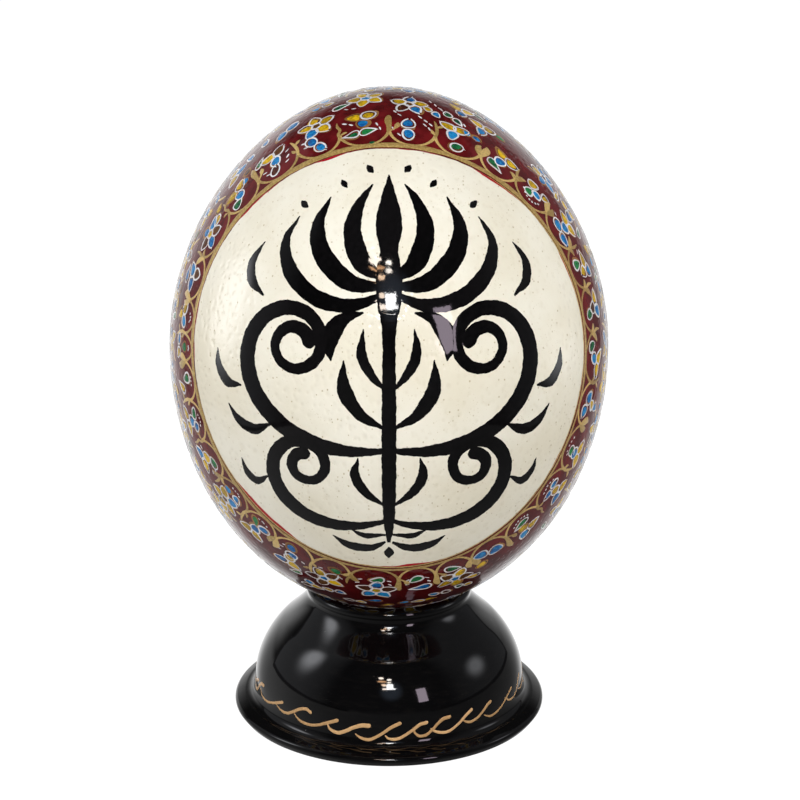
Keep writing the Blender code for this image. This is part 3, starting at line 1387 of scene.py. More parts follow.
# Dashed lines over the crown: turn, reach in millimetres, aim in degrees and number of dashes.
CROWN_DASHES = (
    (350.0, 77.4, -39.0, 2),
    (357.5, 74.8, -65.0, 2),
    (1.9, 81.0, -49.0, 2),
    (2.5, 71.0, -47.0, 1),
    (1.0, 73.8, -53.0, 1),
    (8.6, 78.8, -42.0, 3),
    (9.4, 75.8, -47.0, 2),
    (10.4, 89.4, -50.0, 3),
    (12.5, 86.6, -48.0, 2),
    (18.1, 83.1, -54.0, 1),
    (20.6, 78.7, -19.0, 2),
    (351.2, 85.5, -15.0, 2),
)


@dataclass
class Border:
    """The panel's edge: gold ring, scallops with sprigs where they meet, and a motif or two in each.

    Sizes are in millimetres. The arch is the line of dashes or dots in a scallop, and degree_width is
    what a degree round the panel measures there.
    """

    chart: PanelChart
    ring_reach: Callable[[Array], Array]
    scallop_depth: float = 5.4
    scallop_width: float = 0.85
    dash_length: float = 1.55
    dot_length: float = 0.75
    crown_dash_length: float = 1.5
    dash_spacing: float = 2.1
    degree_width: float = 1.05
    arch_margin: float = 1.9
    arch_foot: float = 10.8
    arch_depth: float = 8.2
    outline_points: int = 20
    seed: int = 21

    def build(self) -> None:
        """Paint the border."""
        self._ring()
        self._scallops()
        palette = Palette("border", self.seed, self.outline_points)
        for number, cell in enumerate(CELLS):
            self._fill(cell, self._width(number), palette)
        for petals, turn, reach, *spin_and_size in SECOND_ROW:
            board = EggSpot(self.chart, math.radians(turn), reach * MM)
            palette.motif(moved(petals, 0.0, 0.0, *spin_and_size), board)
        for turn, reach, aim, count in CROWN_DASHES:
            board = EggSpot(self.chart, math.radians(turn), reach * MM)
            for step in range(count):
                along = self.dash_spacing * (step - (count - 1) / 2.0)
                way = math.radians(aim)
                x, y = along * math.cos(way), along * math.sin(way)
                palette.dash(x, y, aim, self.crown_dash_length, board)
        # A spot of green that dripped on the ring
        drip = EggSpot(self.chart, math.radians(355.6), 68.2 * MM)
        palette.colours[G].dab(Petal(0.0, 0.0, 1.5, 1.1, 0.0, G, 0.0), np.zeros(2), 1.0, np.zeros(2), drip)
        palette.build()

    @staticmethod
    def _width(number: int) -> float:
        """Return how many degrees a cell takes up."""
        return (CELLS[(number + 1) % len(CELLS)].turn - CELLS[number].turn) % 360.0

    def _flat(self, turns: Array, above: Array | float) -> Array:
        """Return flat panel points, in millimetres, so far outside the ring's middle line."""
        reach = self.ring_reach(turns) / MM + above
        return np.column_stack([reach * np.sin(turns), reach * np.cos(turns)])

    def _ring(self) -> None:
        """Paint the gold ring, with a second thin line inside it on the right and below."""
        film = StrokeFilm("gold_ring", Paint.GOLD, 0.07 * MM, 0.0, self.seed, roundness=2, ragged=0.05 * MM)
        turns = np.linspace(0.0, math.tau, 460, endpoint=False)
        single = 0.5 + 0.5 * np.cos(turns + 0.6)
        unsteady = 0.12 * np.sin(turns * 13.0) + 0.1 * np.sin(turns * 31.0 + 2.0)
        main = self._flat(turns, 0.3 - 0.3 * single)
        film.stroke(np.column_stack([main, 0.95 + 0.8 * single + unsteady]), self.chart.wrap, closed=True)
        inner_turns = np.linspace(math.radians(28.0), math.radians(262.0), 300)
        from_end = np.minimum(inner_turns - inner_turns[0], inner_turns[-1] - inner_turns)
        fade = np.minimum(1.0, from_end * 3.0)
        inner = self._flat(inner_turns, -1.1 + 0.12 * np.sin(inner_turns * 9.0))
        film.stroke(np.column_stack([inner, 0.12 + 0.36 * fade]), self.chart.wrap)
        film.build()

    def _scallops(self) -> None:
        """Paint the gold scallops that stand on the ring, and the sprigs where they meet."""
        film = StrokeFilm(
            "gold_scallops", Paint.GOLD, 0.06 * MM, 0.0, self.seed + 1, roundness=1, ragged=0.04 * MM
        )
        sprigs = StrokeFilm(
            "gold_buds", Paint.GOLD, 0.07 * MM, 0.01 * MM, self.seed + 2, roundness=1, ragged=0.06 * MM
        )
        for number, cell in enumerate(CELLS):
            share = np.linspace(0.0, 1.0, 30)
            turns = np.radians(cell.turn + self._width(number) * share)
            bowl = (1.0 - np.abs(2.0 * share - 1.0) ** 2.3) ** 0.62
            width = self.scallop_width * (0.75 + 0.5 * np.abs(2.0 * share - 1.0) ** 3)
            line = self._flat(turns, 0.5 + self.scallop_depth * (1.0 - bowl))
            film.stroke(np.column_stack([line, width]), self.chart.wrap)
            start = math.radians(cell.turn)
            root = float(self.ring_reach(np.array(start))) + self.scallop_depth * MM
            board = EggSpot(self.chart, start, root)
            mirror = -1.0 if sprigs.rng.random() < 0.4 else 1.0
            for knots in cell.bud.value:
                sprigs.stroke(smooth_line([(x * mirror, y, w) for x, y, w in knots]), board)
        film.build()
        sprigs.build()

    def _fill(self, cell: Cell, width: float, palette: Palette) -> None:
        """Paint what is in one cell.

        Args:
            cell: the cell.
            width: how many degrees it takes up.
            palette: the films to paint on.
        """
        middle = math.radians(cell.turn + width / 2.0)
        reach = float(self.ring_reach(np.array(middle)))
        board_height = 7.0
        board = EggSpot(self.chart, middle, reach + board_height * MM)
        for petals, x, y, *spin_and_size in cell.motifs:
            palette.motif(moved(petals, x, y - board_height, *spin_and_size), board)
        half = width * 0.5 * self.degree_width - self.arch_margin
        shares = [0.05 + 0.09 * step for step in range(cell.dashes[0])]
        shares += [0.95 - 0.09 * step for step in range(cell.dashes[1])]
        shares += [0.5 + 0.085 * (step - (cell.dots - 1) / 2.0) for step in range(cell.dots)]
        for count, share in enumerate(shares):
            turn = math.pi * share
            x = -half * math.cos(turn)
            y = self.arch_foot - self.arch_depth * math.sin(turn) ** 0.8 - board_height
            aim = 0.3 * math.degrees(math.atan2(-6.5 * math.cos(turn), half * math.sin(turn)))
            is_dot = count >= sum(cell.dashes)
            palette.dash(x, y, aim, self.dot_length if is_dot else self.dash_length, board)


@dataclass
class Garden:
    """The rest of the egg: rows of flowers, leaves and dashes round to the middle of its back."""

    chart: PanelChart
    ring_reach: Callable[[Array], Array]
    first_row: float = 0.145
    taken: Pair = (math.cos(math.radians(33.0)), -math.cos(math.radians(36.0)))
    rows: int = 11
    spacing: float = 13.0
    dash_length: float = 1.5
    dash_spacing: float = 1.7
    outline_points: int = 13
    seed: int = 50

    def build(self) -> None:
        """Paint the rows."""
        palette = Palette("garden", self.seed, self.outline_points)
        for row in range(self.rows):
            share = self.first_row + (1.0 - self.first_row) * row / self.rows
            self._row(row, share, palette)
        rosette = EggSpot(self.chart, 0.0, float(self.chart.end_at(np.array(0.0))) - 0.2 * MM)
        palette.motif(moved(blossom((Y, B, Y, B, Y, B), U), 0.0, 0.0, 0.0, 1.15), rosette)
        palette.build()

    def _reach(self, turn: float, share: float) -> float:
        """Return the reach at a share of the way from the gold ring to the back's middle."""
        start = float(self.ring_reach(np.array(turn)))
        return start + (float(self.chart.end_at(np.array(turn))) - start) * share

    def _row(self, row: int, share: float, palette: Palette) -> None:
        """Paint one row.

        Args:
            row: its number, from the gold ring.
            share: its place between the gold ring and the back's middle.
            palette: the films to paint on.
        """
        rng = palette.rng
        ring_turns = np.linspace(0.0, math.tau, 181)
        reaches = np.array([self._reach(turn, share) for turn in ring_turns])
        places = self.chart.surface.at(self.chart.ways(ring_turns, reaches))
        around = np.concatenate([[0.0], np.cumsum(np.linalg.norm(np.diff(places, axis=0), axis=1))])
        count = max(3, round(around[-1] / (self.spacing * MM)))
        for number in range(count):
            along = (number + 0.5 * (row % 2) + rng.uniform(-0.08, 0.08)) / count * around[-1]
            turn = float(np.interp(along % around[-1], around, ring_turns))
            reach = self._reach(turn, share) + rng.uniform(-0.6, 0.6) * MM
            if row == 0 and not self.taken[1] < math.cos(turn) < self.taken[0]:
                continue
            board = EggSpot(self.chart, turn, reach)
            self._bed(number + row * 2, board, palette)

    def _bed(self, number: int, board: EggSpot, palette: Palette) -> None:
        """Paint one flower with what fills the ground beside it.

        Args:
            number: tells, with a random draw, which flower it is.
            board: where it is painted.
            palette: the films to paint on.
        """
        rng = palette.rng
        choices = (
            blossom((Y, Y, Y, Y, Y), B),
            trefoil(Y, B, Y),
            blossom((B, Y, B, Y, U), Y),
            trefoil(B, Y, Y),
            blossom((Y, U, Y, B, Y), B),
            trefoil(Y, Y, B),
            blossom((B, B, Y, B, B), U),
        )
        flower = choices[(number * 3 + int(rng.integers(0, 2))) % len(choices)]
        palette.motif(moved(flower, 0.0, 0.0, rng.uniform(-180.0, 180.0), rng.uniform(0.9, 1.02)), board)
        side = 6.4
        filler = (leaf(G), ring(G), beads(B, B), leaves(G), ring(B), leaf(Y))[int(rng.integers(0, 6))]
        palette.motif(moved(filler, side, rng.uniform(-1.0, 1.0), rng.uniform(55.0, 125.0), 0.85), board)
        small = (ring(G), leaf(G), ring(Y), leaf(B))[int(rng.integers(0, 4))]
        palette.motif(moved(small, rng.uniform(-1.5, 1.5), 6.6, rng.uniform(0.0, 180.0), 0.75), board)
        slant = rng.uniform(-50.0, 50.0)
        corner = (5.0, 5.2) if rng.random() < 0.5 else (-5.0, 5.2)
        way = math.radians(slant)
        for step in (-self.dash_spacing, 0.0, self.dash_spacing):
            x = corner[0] - math.sin(way) * step
            y = corner[1] + math.cos(way) * step
            palette.dash(x, y, slant + 20.0, self.dash_length, board)
        heading = rng.uniform(-60.0, 60.0)
        curl = rng.uniform(-120.0, 120.0)
        stem = tendril((-6.2, -4.6), heading, 7.5, 40.0, curl, (0.5, 0.9, 0.7, 0.3))
        palette.gold.stroke(stem, board)


# ---------------------------------------------------------------- stand

Profile = list[Pair]


@dataclass
class StandOutline:
    """The turned stand's outline, as distances from the axis and heights."""

    surface: EggSurface
    gap: float = 0.3 * MM
    seat_radius: float = 22.3 * MM
    lip_centre: Pair = (23.65 * MM, 38.35 * MM)
    lip_radius: float = 1.6 * MM
    cove_top: Pair = (24.9 * MM, 36.6 * MM)
    shoulder: Pair = (32.2 * MM, 28.0 * MM)
    shoulder_slope: float = math.radians(41.0)
    shoulder_pull: float = 5.2 * MM
    dome_foot: Pair = (41.3 * MM, 8.6 * MM)
    fillet: float = 3.4 * MM
    flange_top: float = 4.0 * MM
    edge_height: float = 3.1 * MM
    edge_rounding: float = 1.3 * MM
    chamfer: float = 1.1 * MM

    def __post_init__(self) -> None:
        """Take the flange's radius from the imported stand."""
        self.flange_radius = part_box("stand")[1].x

    def points(self) -> Array:
        """Draw the outline from the edge of the seat's first ring round to the underside.

        Returns:
            Its points, as rows of distance from the axis and height.
        """
        edge = (self.flange_radius - self.edge_rounding, self.edge_height - self.edge_rounding)
        flange = self._arc(edge, self.edge_rounding, 80.0, -10.0, 12)
        underside = [(self.flange_radius - self.chamfer, 0.0)]
        lip = self._arc(self.lip_centre, self.lip_radius, 100.0, -38.0, 22)
        return np.array([*self.seat(), *lip, *self.side(), *flange, *underside])

    def seat(self) -> Profile:
        """Draw the seat, which keeps its gap to the egg's lower end.

        Returns:
            Its points, from the middle outwards.
        """
        points = []
        for radius in np.linspace(0.8 * MM, self.seat_radius, 18):
            drop = math.sqrt(1.0 - (radius / self.surface.radius) ** 2)
            slope = self.surface.lower_half * radius / (self.surface.radius**2 * drop)
            height = self.surface.belt_height - self.surface.lower_half * drop
            points.append((float(radius), height - self.gap * math.hypot(1.0, slope)))
        return points

    def side(self) -> Profile:
        """Draw the side below the lip: cove, dome and the fillet that runs out on the flange.

        Returns:
            Its points, from the top down.
        """
        run = math.cos(self.shoulder_slope) * self.shoulder_pull
        fall = math.sin(self.shoulder_slope) * self.shoulder_pull
        radius, height = self.shoulder
        foot, foot_height = self.dome_foot
        cove_pull = (self.cove_top[0] - 0.1 * MM, self.cove_top[1] - 1.6 * MM)
        cove = self._curve(self.cove_top, cove_pull, (radius - run, height + fall), self.shoulder, 16)
        dome_pull, dome_end_pull = (radius + run, height - fall), (foot, foot_height * 2.0)
        dome = self._curve(self.shoulder, dome_pull, dome_end_pull, self.dome_foot, 30)
        fillet_pull = (foot, foot_height - self.fillet)
        fillet_end_pull = (foot + 0.3 * self.fillet, self.flange_top)
        root = (foot + self.fillet, self.flange_top)
        fillet = self._curve(self.dome_foot, fillet_pull, fillet_end_pull, root, 14)
        return cove + dome[1:] + fillet[1:]

    @staticmethod
    def _arc(centre: Pair, radius: float, start: float, end: float, count: int) -> Profile:
        """Draw an arc.

        Args:
            centre: its centre.
            radius: its radius.
            start: angle of its first point, in degrees.
            end: angle of its last point, in degrees.
            count: how many points it has.

        Returns:
            Its points.
        """
        x, y = centre
        turns = np.radians(np.linspace(start, end, count))
        return [(x + radius * math.cos(turn), y + radius * math.sin(turn)) for turn in turns]

    @staticmethod
    def _curve(start: Pair, pull: Pair, end_pull: Pair, end: Pair, steps: int) -> Profile:
        """Draw a cubic curve.

        Args:
            start: its first point.
            pull: the pull point of its start.
            end_pull: the pull point of its end.
            end: its last point.
            steps: how many steps it is drawn in.

        Returns:
            Its points.
        """
        along = np.linspace(0.0, 1.0, steps + 1)[:, None]
        back = 1.0 - along
        first_half = back**3 * start + 3.0 * back**2 * along * pull
        rows = first_half + 3.0 * back * along**2 * end_pull + along**3 * end
        return [(float(radius), float(height)) for radius, height in rows]


@dataclass
class Stand:
    """The turned, lacquered stand, drawn out ring by ring from the middle of its seat."""

    outline: StandOutline
    steps: int = 240

    def build(self) -> bpy.types.Object:
        """Model and dress the stand.

        Returns:
            The stand, which stands for the solid one.
        """
        points = self.outline.points()
        radius, height = points[0]
        obj = primitive(
            bpy.ops.mesh.primitive_circle_add,
            "lacquered_stand",
            vertices=self.steps,
            radius=radius,
            fill_type="TRIFAN",
            location=(0.0, 0.0, height),
        )
        select_where(obj, lambda place: math.hypot(place.x, place.y) > radius * 0.5)
        for (last, last_height), (radius, height) in zip(points, points[1:]):
            climb = (0.0, 0.0, height - last_height)
            bpy.ops.mesh.extrude_edges_move(TRANSFORM_OT_translate={"value": climb})
            stretch = radius / last
            bpy.ops.transform.resize(value=(stretch, stretch, 1.0), center_override=(0.0, 0.0, height))
        bpy.ops.mesh.extrude_edges_move()
        bpy.ops.mesh.merge(type="CENTER")
        bpy.ops.mesh.select_all(action="SELECT")
        bpy.ops.mesh.normals_make_consistent(inside=False)
        finish_piece(obj, LacquerFinish().build(), "black_lacquer", 50.0)
        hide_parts("stand")
        return obj


class StandBoard:
    """A flat drawing board wrapped on the stand's foot, with x to the right and y up the side."""

    def __init__(self, outline: StandOutline, angle: float, height: float) -> None:
        """Set the board against the stand.

        Args:
            outline: the stand's outline.
            angle: where it is round the stand, in radians to the right of the front.
            height: the height of its x axis.
        """
        side = np.array(outline.side())[::-1]
        steps = np.linalg.norm(np.diff(side, axis=0), axis=1)
        self._along = np.concatenate([[0.0], np.cumsum(steps)])
        self._side = side
        self._start = float(np.interp(height, side[:, 1], self._along))
        self._angle = angle
        self._radius = float(np.interp(height, side[:, 1], side[:, 0]))

    def __call__(self, flat: Array, lift: Array) -> Array:
        """Wrap flat points on the stand.

        Args:
            flat: rows of x and y on the board, in metres.
            lift: height of each above the stand.

        Returns:
            World points, as rows.
        """
        along = self._start + flat[:, 1]
        radius = np.interp(along, self._along, self._side[:, 0])
        height = np.interp(along, self._along, self._side[:, 1])
        nudge = 0.4 * MM
        lean_out = np.interp(along + nudge, self._along, self._side[:, 1]) - height
        lean_up = radius - np.interp(along + nudge, self._along, self._side[:, 0])
        size = np.maximum(np.hypot(lean_out, lean_up), 1e-9)
        radius = radius + lift * lean_out / size
        height = height + lift * lean_up / size
        turn = self._angle + flat[:, 0] / self._radius
        return np.column_stack([radius * np.sin(turn), -radius * np.cos(turn), height])


@dataclass(frozen=True)
class WaveStroke:
    """One stroke of the gold wave.

    turn is where it starts, in degrees to the right of the front, width that of its blunt end, and path
    its points, with x to the right of the start and y above the wave's own line, in millimetres.
    """

    turn: float
    width: float
    path: tuple[Pair, ...]

    def line(self) -> Array:
        """Draw the stroke, thin where the brush was set down.

        Returns:
            Rows of x, y and width, in millimetres.
        """
        shares = np.linspace(0.0, 1.0, len(self.path))
        places, pressures = (0.0, 0.12, 0.35, 0.6, 0.9, 1.0), (0.3, 0.6, 0.85, 0.8, 1.0, 1.0)
        widths = 0.9 * self.width * np.interp(shares, places, pressures)
        line = smooth_line([(x, y, width) for (x, y), width in zip(self.path, widths)], 0.45)
        return rounded_end(line)


WAVE = (
    WaveStroke(-71.5, 1.0, ((0.0, 1.8), (1.1, -0.1), (5.2, -0.3), (9.6, 0.9), (14.6, 3.0))),
    WaveStroke(-55.9, 1.2, (
        (0.0, 1.2), (2.7, 0.2), (5.7, 0.3), (8.5, 1.8), (11.3, 3.5), (13.6, 4.1), (15.2, 3.5),
    )),
    WaveStroke(-43.7, 1.2, ((0.0, 1.4), (2.1, -0.1), (5.3, -0.6), (8.7, 0.0), (12.2, 1.5), (15.6, 3.0))),
    WaveStroke(-26.3, 1.5, (
        (0.0, 1.2), (0.9, -0.2), (3.2, -0.9), (5.4, -0.2), (8.3, 1.5), (10.8, 2.4), (12.9, 2.5),
    )),
    WaveStroke(-14.1, 1.2, (
        (0.0, -0.4), (1.3, -1.3), (3.4, -1.9), (5.2, -1.6), (7.9, 0.0), (10.6, 2.0), (13.4, 3.4),
    )),
    WaveStroke(-1.6, 1.2, (
        (0.0, -0.4), (0.9, -1.3), (2.7, -1.6), (4.8, -1.1), (7.9, 0.8), (10.3, 2.5), (12.5, 3.0),
    )),
    WaveStroke(9.9, 1.2, (
        (0.0, 1.9), (0.7, 0.0), (2.2, -1.1), (4.3, -0.8), (5.9, 0.4), (7.9, 2.3), (9.5, 3.3), (11.6, 3.6),
    )),
    WaveStroke(17.4, 1.15, (
        (0.0, 1.1), (1.1, 0.0), (3.4, -0.9), (6.0, -0.9), (9.2, 0.7), (11.7, 2.6), (14.1, 4.0),
    )),
    WaveStroke(31.9, 1.15, (
        (0.0, 1.8), (1.5, 0.7), (3.3, 0.2), (5.7, 0.7), (8.2, 2.2), (10.1, 3.5), (11.6, 4.1),
    )),
    WaveStroke(43.7, 0.95, (
        (0.0, 0.8), (2.2, -0.3), (4.6, -0.5), (7.8, 0.3), (10.7, 1.8), (13.6, 3.3), (15.3, 4.0),
    )),
    WaveStroke(58.6, 0.85, (
        (0.0, 2.6), (1.5, 1.3), (3.6, 0.5), (6.6, 0.6), (9.1, 2.1), (10.9, 3.7), (13.3, 4.9),
    )),
)


@dataclass
class GoldWave:
    """The gold wave painted round the stand's foot, stroke after stroke."""

    outline: StandOutline
    height: float = 7.9 * MM
    others: int = 16
    seed: int = 5

    def build(self) -> bpy.types.Object:
        """Paint the wave, whose strokes at the back take the shapes of those in front.

        Returns:
            The wave.
        """
        film = StrokeFilm(
            "gold_wave", Paint.FOOT_GOLD, 0.08 * MM, 0.0, self.seed, roundness=2, ragged=0.03 * MM
        )
        for stroke in WAVE:
            film.stroke(stroke.line(), StandBoard(self.outline, math.radians(stroke.turn), self.height))
        gap = (360.0 - WAVE[-1].turn + WAVE[0].turn) / (self.others + 1)
        for step in range(self.others):
            shape = WAVE[(step * 4 + 1) % len(WAVE)]
            turn = WAVE[-1].turn + gap * (step + 1) + film.rng.uniform(-1.0, 1.0)
            film.stroke(shape.line(), StandBoard(self.outline, math.radians(turn), self.height))
        return film.build()


# Strokes of the panel as knots with x, y and width in millimetres, from the panel's middle: the stem,
# bud and drops on the middle line, then the bud's petals and the leaves, which are drawn on both sides.
STEM_AND_BUD = (
    ((0, -55, 1.0), (0, -46, 3.4), (0, -30, 4.2), (0, -8, 4.0), (0, 8, 3.6), (0, 16, 5.2)),
    (
        (0, 13, 3.8), (0, 18, 6.4), (0, 24, 7.4), (0, 29, 6.6),
        (0, 33.5, 5.2), (0, 40.5, 7.6), (0, 47.5, 5.4), (0, 56.5, 0.3),
    ),
    ((0, -62, 0.3), (0, -59.5, 3.2), (0, -57, 0.6)),
)
PETALS = (
    ((0.8, 25, 1.4), (7.5, 30, 5.4), (10.4, 39, 5.2), (8.6, 47, 3.2), (4.6, 53.5, 0.4)),
    ((1.0, 23, 1.6), (11, 24.5, 5.0), (18.6, 32, 5.6), (20.6, 41, 4.0), (17.0, 50, 0.4)),
    (
        (1.0, 21, 1.6), (11, 18.0, 3.8), (21, 20.5, 4.8),
        (28.5, 28, 4.6), (30.5, 37, 2.8), (26.5, 44.5, 0.4),
    ),
    ((4.6, 57.2, 0.3), (5.4, 58.2, 2.0), (6.0, 59.2, 1.7), (6.4, 60.0, 0.2)),
    ((12.2, 52.6, 0.3), (13.0, 53.6, 1.8), (13.6, 54.6, 1.5), (14.0, 55.3, 0.2)),
    ((24.0, 47.0, 0.3), (25.0, 47.9, 2.0), (25.8, 48.8, 1.7), (26.3, 49.5, 0.2)),
)
LEAVES = (
    ((1, -55, 0.8), (6, -57.5, 3.0), (12, -57.0, 3.2), (17.5, -53.5, 0.3)),
    ((1, -52, 0.8), (7, -52.5, 2.2), (11.5, -50.5, 0.3)),
    ((1.5, -16.5, 0.8), (8.0, -12.5, 3.4), (12.4, -5.5, 4.2), (12.6, 3, 0.3)),
    ((1.5, -5, 0.8), (5.4, -0.5, 2.6), (7.6, 5, 2.8), (7.0, 11.5, 0.3)),
    ((7.0, 16.0, 0.5), (12.0, 14.6, 3.4), (15.6, 10.8, 5.4), (16.6, 6.2, 3.6), (16.2, 2.5, 0.3)),
    ((1.5, -41, 0.8), (7.0, -36.5, 2.8), (9.8, -31, 3.0), (8.8, -25.5, 0.3)),
    ((35, -17, 0.6), (41, -19.5, 3.6), (46.5, -17.5, 3.0), (50.5, -12.5, 0.3)),
    ((37.5, -35, 0.6), (42.0, -37.5, 3.0), (45.5, -35.0, 2.4), (47.0, -30.5, 0.3)),
    ((45, -6, 0.6), (50.5, -5.5, 3.4), (54, -0.5, 2.8), (54.5, 5.0, 0.3)),
    ((37, 21.0, 0.6), (41.5, 26.0, 3.2), (41.5, 32.0, 2.6), (37.5, 37.5, 0.3)),
)


@dataclass
class PanelArt:
    """The panel's black brushwork: one flowering stem with curling tendrils, alike on both sides."""

    chart: PanelChart
    seed: int = 3

    def build(self) -> bpy.types.Object:
        """Paint the brushwork.

        Returns:
            The brushwork, as one film.
        """
        film = StrokeFilm(
            "panel_brushwork", Paint.BLACK, 0.022 * MM, 0.0, self.seed,
            roundness=2, ragged=0.16 * MM, rounding=0.12 * MM,
        )
        for line in self.strokes():
            film.stroke(line, self.chart.wrap)
        for line in smooth_lines(STEM_AND_BUD):
            film.stroke(line, self._above)
        return film.build()

    def _above(self, flat: Array, lift: Array) -> Array:
        """Return wrapped points that clear the strokes below them."""
        return self.chart.wrap(flat, lift + 0.03 * MM)

    def strokes(self) -> list[Array]:
        """Draw the strokes on both sides of the middle line.

        Returns:
            The strokes, as rows of x, y and width.
        """
        tendrils = [
            tendril((0.6, -23), 99, 131, -152, -478, (1.6, 4.3, 5.4, 5.6, 5.0, 4.2, 3.5, 3.0, 4.4)),
            tendril((0.6, -46.5), 112, 94, -150, -415, (1.4, 4.1, 5.2, 4.6, 3.8, 3.0, 4.0)),
        ]
        right = smooth_lines(PETALS) + tendrils + smooth_lines(LEAVES)
        return right + [line * (-1.0, 1.0, 1.0) for line in right]


@dataclass(frozen=True)
class Glow:
    """A soft lamp or window seen only in the gloss.

    turn is degrees to the right of the front and rise degrees above level; wide and tall are half its
    size and fade its soft edge, in degrees too.
    """

    turn: float
    rise: float
    wide: float
    tall: float
    fade: float
    strength: float
    tint: Colour = (1.0, 1.0, 1.0)

    def mask(self, shader: Shader, way: Socket) -> Socket:
        """Tell where the lamp is seen.

        Args:
            shader: where the nodes are added.
            way: the way that is looked along.

        Returns:
            1 where the way meets the lamp and 0 elsewhere.
        """
        angle, tip = math.radians(self.turn), math.radians(self.rise)
        ahead = (math.sin(angle) * math.cos(tip), -math.cos(angle) * math.cos(tip), math.sin(tip))
        right = (math.cos(angle), math.sin(angle), 0.0)
        above = (-math.sin(angle) * math.sin(tip), math.cos(angle) * math.sin(tip), math.cos(tip))
        parts = [
            shader.node("ShaderNodeVectorMath", {"operation": "DOT_PRODUCT"}, {0: way, 1: axis}, out=1)
            for axis in (ahead, right, above)
        ]
        side = parts[1] * (1.0 / math.radians(self.wide))
        high = parts[2] * (1.0 / math.radians(self.tall))
        off = (side * side + high * high) ** 0.5
        rim = 1.0 + self.fade / max(self.wide, self.tall)
        return (1.0 - off.ease(1.0, rim)) * parts[0].ease(0.0, 0.1)


def hang_card(obj: bpy.types.Object, links: Callable[[Shader], dict], **even: float) -> None:
    """Make an object a lit card of the stage that only gloss shows: no view, shadow or diffuse light.

    Args:
        obj: the card.
        links: gives the material's inputs that vary over it.
        even: the inputs that are the same all over.
    """
    black = (0.0, 0.0, 0.0, 1.0)
    obj.data.materials.append(
        new_material(obj.name, links, base_color=black, specular_ior_level=0.0, **even)
    )
    obj.visible_camera = False
    obj.visible_diffuse = False
    obj.visible_transmission = False
    obj.visible_shadow = False


@dataclass(frozen=True)
class Lamp:
    """A lamp near the egg that is seen only in the gloss: an even card that faces the egg."""

    name: str
    place: Colour
    wide: float
    tall: float
    strength: float
    tint: Colour = (1.0, 1.0, 1.0)

    def build(self, facing: Vector) -> None:
        """Hang the card.

        Args:
            facing: the point that it is turned to.
        """
        obj = primitive(bpy.ops.mesh.primitive_plane_add, self.name, size=1.0)
        bpy.ops.transform.resize(value=(self.wide, self.tall, 1.0))
        deselect_all()
        obj.location = self.place
        obj.rotation_euler = (facing - obj.location).to_track_quat("Z", "Y").to_euler()
        colour = (*self.tint, 1.0)
        hang_card(obj, lambda shader: {}, emission_color=colour, emission_strength=self.strength)


@dataclass(frozen=True)
class TentWall:
    """One cloth side of the light tent round the egg, with a softbox that glows through it.

    x is where it hangs. Places and sizes on it are (y, z) pairs; rear_edge gives its rear edge at the
    foot and at the top.
    """

    name: str
    x: float
    glow_place: Pair
    glow_size: Pair
    glow: float
    cloth: float
    rear_edge: tuple[Pair, Pair]
    front: float = -0.32
    hem: float = 0.012
    tint: Colour = (0.94, 0.955, 1.0)

    def build(self) -> None:
        """Hang the cloth."""
        obj = primitive(bpy.ops.mesh.primitive_plane_add, self.name, size=1.0)
        deselect_all()
        (foot_y, foot_z), (top_y, top_z) = self.rear_edge
        corners = ((self.front, foot_z), (foot_y, foot_z), (self.front, top_z), (top_y, top_z))
        for vert, (y, z) in zip(obj.data.vertices, corners):
            vert.co = (self.x, y, z)
        hang_card(obj, self._links, emission_strength=self.glow)

    def _links(self, shader: Shader) -> dict[str, Socket]:
        """Tell how the cloth glows: most at the softbox, little elsewhere, least at its hem.

        Args:
            shader: where the nodes are added.

        Returns:
            Sockets by the name of the input they feed.
        """
        split = shader.node("ShaderNodeSeparateXYZ", None, {0: shader.place()})
        y, z = split.output(1), split.output(2)
        across = (y - self.glow_place[0]) * (1.0 / self.glow_size[0])
        up = (z - self.glow_place[1]) * (1.0 / self.glow_size[1])
        halo = 2.718 ** ((across * across + up * up) ** 1.4 * -0.5)
        (foot_y, foot_z), (top_y, top_z) = self.rear_edge
        lean = (top_y - foot_y) / (top_z - foot_z)
        inside = (foot_y - y + (z - foot_z) * lean).least(z - foot_z)
        cloth = inside.ease(self.hem * 0.8, self.hem) * 0.75 + 0.25
        lit = y.ease(-0.20, -0.04) * self.cloth + 0.02
        level = halo + cloth * lit * (1.0 / self.glow)
        return {"Emission Color": shader.mix(level, (0.0, 0.0, 0.0), self.tint)}


@dataclass(frozen=True)
class Softbox:
    """A soft round lamp that lights the egg but isn't seen in its gloss."""

    name: str
    place: Colour
    size: float
    power: float
    tint: Colour


